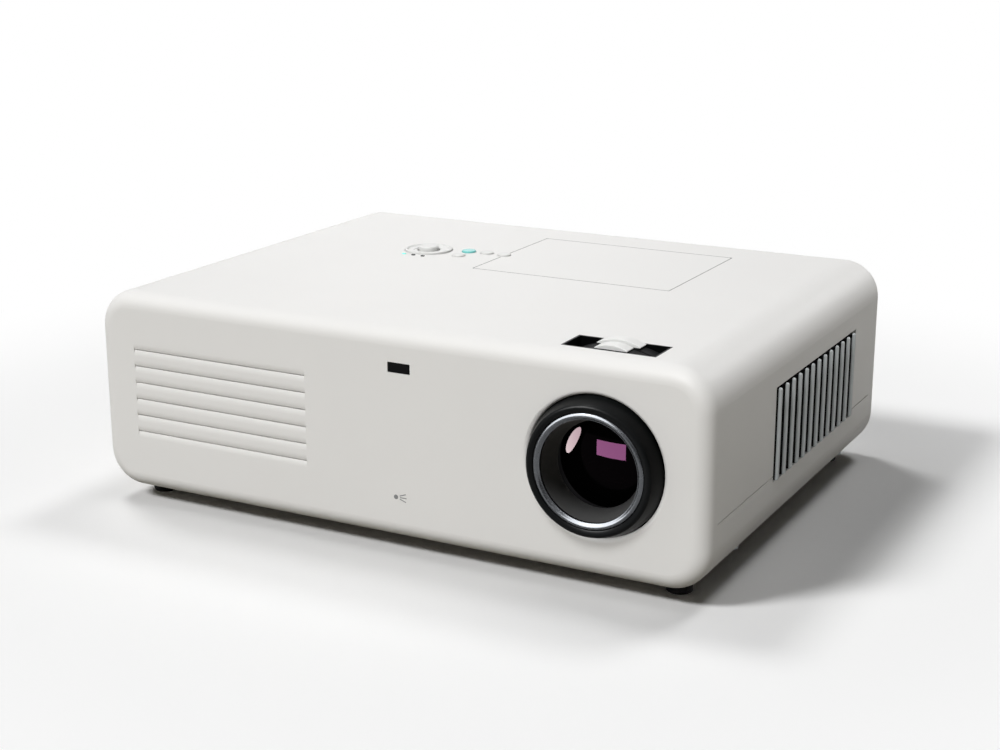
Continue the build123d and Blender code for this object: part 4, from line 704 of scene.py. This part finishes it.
def makeComputerShells():
    z, tip, face = rear["socketZ"] * mm, (rear["tip"] + rear["lip"]) * mm, rear["panelFace"] * mm
    halfX, halfZ = [(v + rear["shell"]) * mm for v in rear["dHalf"]]
    root = rear["root"] * mm
    for name, x in rear["dPlaces"].items():
        x = x * mm
        bm = bmesh.new()
        verts = addBlock(bm, (x - halfX, face - root, z - halfZ), (x + halfX, tip, z + halfZ))
        taper = Matrix.Diagonal((1 - rear["dTaper"] * mm / halfX, 1, 1, 1))
        bmesh.ops.transform(bm, matrix=taper, space=Matrix.Translation((-x, 0, 0)),
                            verts=[v for v in verts if v.co.z < z])
        long = [e for v in verts for e in v.link_edges
                if abs(e.verts[0].co.y - e.verts[1].co.y) > mm]
        roundEdges(bm, list(set(long)), rear["dCorner"] * mm, 5)
        bm.normal_update()
        ends = [f for f in bm.faces if abs(f.normal.y) > 0.99]
        front = [f for f in ends if f.calc_center_median().y > face]
        bmesh.ops.delete(bm, geom=[f for f in ends if f not in front], context="FACES_ONLY")
        bmesh.ops.inset_region(bm, faces=front, thickness=rear["rim"] * mm, use_even_offset=True)
        inner = bmesh.ops.extrude_face_region(bm, geom=front)["geom"]
        bmesh.ops.translate(bm, verts=[v for v in inner if isinstance(v, bmesh.types.BMVert)],
                            vec=(0, -(rear["lip"] + rear["bodyGap"]) * mm, 0))
        caps = [f for f in inner if isinstance(f, bmesh.types.BMFace)] + front
        bmesh.ops.delete(bm, geom=caps, context="FACES_ONLY")
        for side in (-1, 1):
            post = Matrix.Translation((x + side * rear["postReach"] * mm,
                                       (face - root + tip) / 2, z))
            post = post @ Matrix.Rotation(math.pi / 2, 4, "X")
            bmesh.ops.create_cone(bm, cap_ends=True, segments=6, radius1=rear["post"] * mm,
                                  radius2=rear["post"] * mm, depth=tip - face + root,
                                  matrix=post)
        bm.normal_update()
        posts = [f for f in bm.faces if f.normal.y > 0.99 and len(f.verts) == 6]
        bmesh.ops.inset_region(bm, faces=posts, thickness=rear["threadWall"] * mm)
        threads = bmesh.ops.extrude_face_region(bm, geom=posts)["geom"]
        bmesh.ops.translate(bm, verts=[v for v in threads if isinstance(v, bmesh.types.BMVert)],
                            vec=(0, -rear["threadDepth"] * mm, 0))
        finishPiece(name + "Shell", bm, "bright_steel", "case", creaseAngle=35)


def makeCollar(name, x, outer, inner, y0, y1, slotName, material=None):
    bm = bmesh.new()
    soft = rear["collarEdge"] * mm
    turnProfile(bm, [(outer, y0), (outer, y1 - soft), (outer - soft, y1), (inner + soft, y1),
                     (inner, y1 - soft), (inner, y0)], (x * mm, rear["socketZ"] * mm), 48)
    finishPiece(name, bm, slotName, "case", material=material)


def makeRoundSockets():
    tip, radius = rear["tip"], rear["phonoRadius"]
    sleeve, inner, jack = rear["sleeve"], rear["phonoRing"], rear["jackCollar"]
    back, front = (rear["panelFace"] - sleeve["back"]) * mm, (tip + sleeve["front"]) * mm
    for name, (x, colour) in rear["phono"].items():
        makeCollar(name + "Sleeve", x, (radius + sleeve["out"]) * mm,
                   (radius - sleeve["wall"]) * mm, back, front, "bright_steel")
        ring = mouldedPlastic(name + "Polyester", colour, colour, 0.35, pitDepth=0.001)
        makeCollar(name + "Ring", x, (radius - inner["in"]) * mm, rear["phonoBore"] * mm,
                   (tip - inner["back"]) * mm, (tip + inner["front"]) * mm, "video_black",
                   material=ring)
    x, r = rear["sVideo"]
    makeCollar("videoDinSleeve", x, (r + sleeve["out"]) * mm, (r - sleeve["dinWall"]) * mm,
               back, front, "bright_steel")
    x, r, bore, jackTip = rear["jack"]
    makeCollar("audioJackCollar", x, (r - jack["in"]) * mm, bore * mm,
               (jackTip - jack["back"]) * mm, (jackTip + jack["front"]) * mm, "bright_steel")


def makeSquareShells():
    z = rear["socketZ"] * mm
    x, tip = rear["usb"]
    wide, tall = [v * mm for v in rear["usbHalf"]]
    rim = rear["usbRim"] * mm
    back, front = (tip - rear["usbDepth"][0]) * mm, (tip + rear["usbDepth"][1]) * mm
    x = x * mm
    bm = bmesh.new()
    for a, b in (((x - wide, z - tall), (x + wide, z - tall + rim)),
                 ((x - wide, z + tall - rim), (x + wide, z + tall)),
                 ((x - wide, z - tall + rim), (x - wide + rim, z + tall - rim)),
                 ((x + wide - rim, z - tall + rim), (x + wide, z + tall - rim))):
        addBlock(bm, (a[0], back, a[1]), (b[0], front, b[1]))
    finishPiece("usbShell", bm, "bright_steel", "case")
    x, z = rear["inlet"]
    bm = bmesh.new()
    (halfX, halfZ), (root, tip) = rear["bladeHalf"], rear["bladeReach"]
    for px, pz in rear["blades"]:
        verts = addBlock(bm, ((x + px - halfX) * mm, root * mm, (z + pz - halfZ) * mm),
                         ((x + px + halfX) * mm, tip * mm, (z + pz + halfZ) * mm))
        edges = {e for v in verts for e in v.link_edges}
        ends = [e for e in edges if min(v.co.y for v in e.verts) > (tip - 0.1) * mm]
        roundEdges(bm, ends, rear["bladeRound"] * mm, 3)
    finishPiece("inletBlades", bm, "brass", "case")


# Rocker marks: a bar and a ring, printed on its two faces
rockerMarks = {"pivot": (-88.0, 132.95, 41.5), "faceOut": 5.48, "faceTilt": 11.03, "rest": -7.0,
               "reach": 5.0, "bar": (0.45, 3.4), "ring": (1.75, 1.3), "ink": 0.04, "root": 0.05}


def makeRockerMarks():
    white = printAndShadeInk("whitePadPrint", "d8d8d6")
    pivot = Matrix.Translation([v * mm for v in rockerMarks["pivot"]])
    rest = pivot @ Matrix.Rotation(math.radians(rockerMarks["rest"]), 4, "X")
    inside, outside = -rockerMarks["root"] * mm, rockerMarks["ink"] * mm
    for name, side in (("onMark", 1), ("offMark", -1)):
        # both faces lean out, away from the middle
        tilt = Matrix.Rotation(math.radians(-side * rockerMarks["faceTilt"]), 4, "X")
        place = rest @ Matrix.Translation((0, rockerMarks["faceOut"] * mm,
                                           side * rockerMarks["reach"] * mm)) @ tilt
        bm = bmesh.new()
        if side > 0:
            wide, tall = [v * mm / 2 for v in rockerMarks["bar"]]
            addBlock(bm, (-wide, inside, -tall), (wide, outside, tall))
        else:
            outer, inner = [v * mm for v in rockerMarks["ring"]]
            turnProfile(bm, [(outer, inside), (outer, outside), (inner, outside),
                             (inner, inside)], (0, 0), 40)
        bmesh.ops.transform(bm, matrix=place, verts=bm.verts)
        finishPiece(name, bm, "white_grips", "mains_switch", material=white)


makeIndicators()
makeMarks()
makeComputerShells()
makeRoundSockets()
makeSquareShells()
makeRockerMarks()
print("marks, lights and rear sockets made")


# Lamps. The case has its own, as a product shot has, and so do the parts of the lens front
lamps = {
    # name: compass angle (0 front, 90 right, 180 rear), height in degrees, strength, width
    "case": {
        "frontLamp": (0.0, 48.0, 1.38, 22.0),
        "frontFill": (0.0, 48.0, 1.50, 22.0),   # passes the lens bezel without a shadow
        "topRearLamp": (180.0, 66.0, 0.27, 22.0),
        "topRightLamp": (110.0, 60.0, 0.13, 30.0),
        "rearRightLamp": (150.0, 6.0, 0.23, 22.0),
        "rearLamp": (165.0, 20.0, 0.40, 18.0),
        "rearLeftLamp": (210.0, 20.0, 0.15, 18.0),
        "leftLamp": (265.0, 20.0, 0.72, 100.0),
    },
    "floorAndBezel": {
        "keyLamp": (319.0, 45.0, 1.85, 14.0),
        "farLamp": (165.0, 58.0, 0.70, 14.0),
        "farLeftLamp": (240.0, 60.0, 0.86, 14.0),
    },
    "ring": {"ringLamp": (320.0, 32.0, 9.0, 70.0)},
    "baffle": {"coneLamp": (308.0, 66.0, 2.2, 24.0)},
    "bezel": {"lipLamp": (320.0, 36.0, 6.0, 30.0)},
}


def makeLamp(name, compass, height, strength, width):
    data = bpy.data.lights.new(name, "SUN")
    data.energy = strength
    data.angle = math.radians(width)
    obj = bpy.data.objects.new(name, data)
    turn, lift = math.radians(compass), math.radians(height)
    stand = Vector((math.sin(turn) * math.cos(lift), -math.cos(turn) * math.cos(lift),
                    math.sin(lift)))
    obj.rotation_euler = (-stand).to_track_quat("-Z", "Y").to_euler()
    bpy.context.scene.collection.objects.link(obj)
    return obj


def makeLamps():
    lensFront = [bpy.data.objects[name] for name in ("brightRing", "lensBezel", "lensBaffle")]
    receivers = {group: bpy.data.collections.new(group) for group in lamps}
    for obj in [floor] + lensFront:
        receivers["case"].objects.link(obj)
    for entry in receivers["case"].collection_objects:
        entry.light_linking.link_state = "EXCLUDE"
    for group, lit in (("floorAndBezel", [floor] + lensFront[:2]), ("ring", lensFront[:1]),
                       ("bezel", lensFront[1:2]), ("baffle", lensFront[2:])):
        for obj in lit:
            receivers[group].objects.link(obj)
    for group, members in lamps.items():
        for name, spec in members.items():
            makeLamp(name, *spec).light_linking.receiver_collection = receivers[group]
    passed = bpy.data.collections.new("passedByTheFill")
    for obj in lensFront + [glass]:
        passed.objects.link(obj)
    for entry in passed.collection_objects:
        entry.light_linking.link_state = "EXCLUDE"
    bpy.data.objects["frontFill"].light_linking.blocker_collection = passed


# Two lamps that only the front glass sees, where its coating reflects them
glassLamps = {
    "windowCard": {"place": (75.0, -290.0, 44.0), "facing": (0, 1, 0), "up": (0, 0, 1),
                   "size": (88.0, 43.0), "shape": "RECTANGLE", "watts": 2.1, "colour": "ffb8f4"},
    # a sliver close to the glass, where the cone in front can't hide it
    "sliverCard": {"place": (103.7, -122.4, 72.4), "facing": (0.219, 0.971, -0.096),
                   "up": (0.454, -0.014, 0.891), "size": (5.2, 16.3), "shape": "ELLIPSE",
                   "watts": 0.066, "colour": "fffff4"},
}


def makeGlassLamps():
    onlyGlass = bpy.data.collections.new("onlyTheFrontGlass")
    onlyGlass.objects.link(glass)
    for name, card in glassLamps.items():
        data = bpy.data.lights.new(name, "AREA")
        data.shape = card["shape"]
        data.size, data.size_y = [v * mm for v in card["size"]]
        data.energy = card["watts"]
        data.color = hexColour(card["colour"])[:3]
        obj = bpy.data.objects.new(name, data)
        back = -Vector(card["facing"]).normalized()
        side = Vector(card["up"]).cross(back).normalized()
        turn = Matrix((side, back.cross(side), back)).transposed().to_4x4()
        obj.matrix_world = Matrix.Translation([v * mm for v in card["place"]]) @ turn
        obj.visible_camera = False
        obj.visible_diffuse = False
        obj.light_linking.receiver_collection = onlyGlass
        bpy.context.scene.collection.objects.link(obj)


makeLamps()
makeGlassLamps()
print("lamps made")
